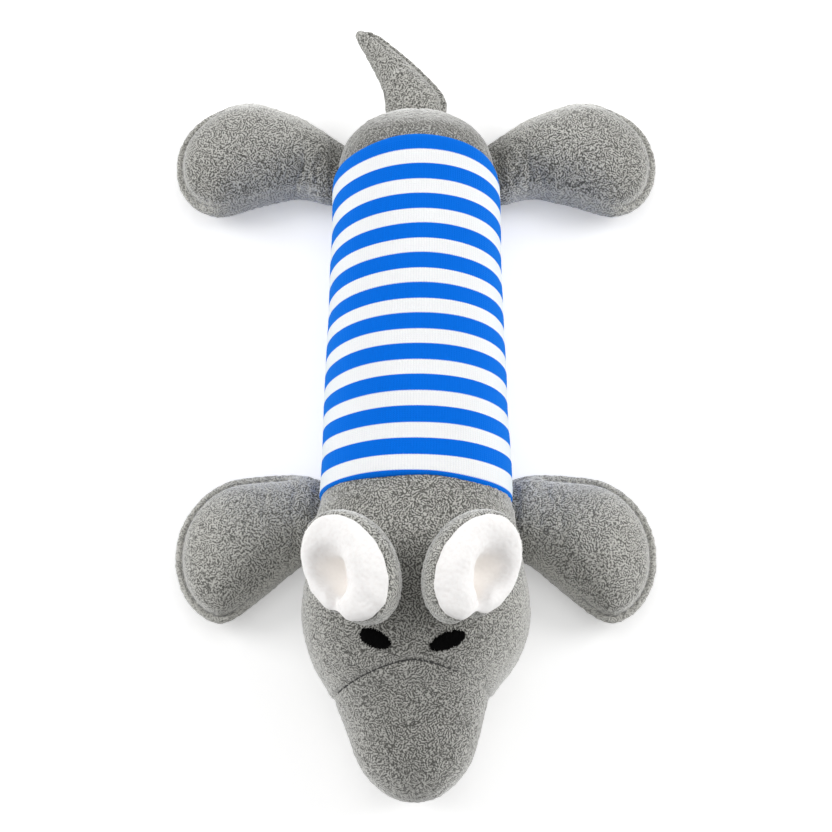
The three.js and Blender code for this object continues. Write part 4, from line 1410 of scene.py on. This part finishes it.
class TOY_OT_stage(bpy.types.Operator):
    """Pale floor, soft lamps and the camera"""

    bl_idname = "toy.stage"
    bl_label = "Stage"

    def execute(self, context):
        self.lay_floor(context)
        self.light(context)
        self.aim_camera(context)
        return {"FINISHED"}

    def seen(self, finish):
        """1 for what the camera sees, straight or through a glossy or clear surface."""
        straight, glossy, clear = (finish.node("ShaderNodeLightPath", out=f"Is {kind} Ray")
                                   for kind in ("Camera", "Glossy", "Transmission"))
        return straight.largest(glossy).largest(clear)

    def put(self, context, name, data, place, way):
        """Sets up a lamp or the camera, looking along a way."""
        stand = bpy.data.objects.new(name, data)
        stand.location = place
        stand.rotation_euler = way.to_track_quat("-Z", "Y").to_euler()
        context.scene.collection.objects.link(stand)
        return stand

    def lay_floor(self, context):
        mesh = bpy.data.meshes.new("floor")
        corners = [(-FLOOR_HALF, -FLOOR_HALF, 0), (FLOOR_HALF, -FLOOR_HALF, 0),
                   (FLOOR_HALF, FLOOR_HALF, 0), (-FLOOR_HALF, FLOOR_HALF, 0)]
        mesh.from_pydata(corners, [], [(0, 1, 2, 3)])
        floor = bpy.data.objects.new("floor", mesh)
        context.scene.collection.objects.link(floor)
        finish = Finish(bpy.data.materials.new("pale floor"))
        matt = finish.node("ShaderNodeBsdfDiffuse", None, {"Color": opaque(colours().floor)})
        place = finish.node("ShaderNodeNewGeometry", out="Position")
        away = finish.node("ShaderNodeVectorMath", {"operation": "LENGTH"}, {0: place}, out="Value")
        near = opaque([FLOOR_GLOW] * 3)
        tint = finish.mix(away.eased(GLOW_NEAR, GLOW_FAR), near, (1, 1, 1, 1))
        sockets = {"Color": tint, "Strength": self.seen(finish)}
        glow = finish.node("ShaderNodeEmission", None, sockets)
        both = finish.node("ShaderNodeAddShader", None, {0: matt, 1: glow})
        finish.node("ShaderNodeOutputMaterial", None, {"Surface": both})
        mesh.materials.append(finish.owner)

    def light(self, context):
        world = bpy.data.worlds.new("studio")
        context.scene.world = world
        finish = Finish(world)
        strength = self.seen(finish) * (1 - AMBIENT) + AMBIENT
        sockets = {"Color": (1, 1, 1, 1), "Strength": strength}
        sky = finish.node("ShaderNodeBackground", None, sockets)
        finish.node("ShaderNodeOutputWorld", None, {"Surface": sky})
        for name, place, size, power in LAMPS:
            lamp = bpy.data.lights.new(name, "AREA")
            lamp.shape = "DISK"
            lamp.size = size
            lamp.energy = power
            self.put(context, name, lamp, place, -Vector(place))
        context.scene.view_settings.view_transform = "Standard"

    def aim_camera(self, context):
        camera = bpy.data.cameras.new("camera")
        camera.lens = CAMERA_LENS
        camera.sensor_width = 36.0
        camera.clip_start, camera.clip_end = 0.05, 50.0
        angle = math.radians(CAMERA_LIFT)
        back = Vector((0, -math.cos(angle), math.sin(angle)))
        target = Vector((np.array(CAMERA_TARGET) + NECK) * MM)
        place = target + back * CAMERA_DISTANCE * MM
        context.scene.camera = self.put(context, "camera", camera, place, -back)


OPERATORS = (
    TOY_OT_stage, TOY_OT_sleeve, TOY_OT_rump, TOY_OT_head, TOY_OT_face,
    TOY_OT_ears, TOY_OT_limbs, TOY_OT_tail, TOY_OT_squeaker,
)


class TOY_PT_panel(bpy.types.Panel):
    """Steps that dress the toy"""

    bl_idname = "TOY_PT_panel"
    bl_label = "Plush toy"
    bl_space_type = "VIEW_3D"
    bl_region_type = "UI"
    bl_category = "Plush toy"

    def draw(self, context):
        for step in OPERATORS:
            self.layout.operator(step.bl_idname)
        for group in (context.scene.plush_sizes, context.scene.plush_colours):
            for name in group.bl_rna.properties.keys():
                if name not in ("rna_type", "name"):
                    self.layout.prop(group, name)


CLASSES = (PlushSizes, PlushColours, *OPERATORS, TOY_PT_panel)


def register():
    for made in CLASSES:
        bpy.utils.register_class(made)
    bpy.types.Scene.plush_sizes = bpy.props.PointerProperty(type=PlushSizes)
    bpy.types.Scene.plush_colours = bpy.props.PointerProperty(type=PlushColours)


def unregister():
    del bpy.types.Scene.plush_colours
    del bpy.types.Scene.plush_sizes
    for made in reversed(CLASSES):
        bpy.utils.unregister_class(made)


def main():
    register()
    for step in OPERATORS:
        group, name = step.bl_idname.split(".")
        getattr(getattr(bpy.ops, group), name)()


if __name__ == "__main__":
    main()
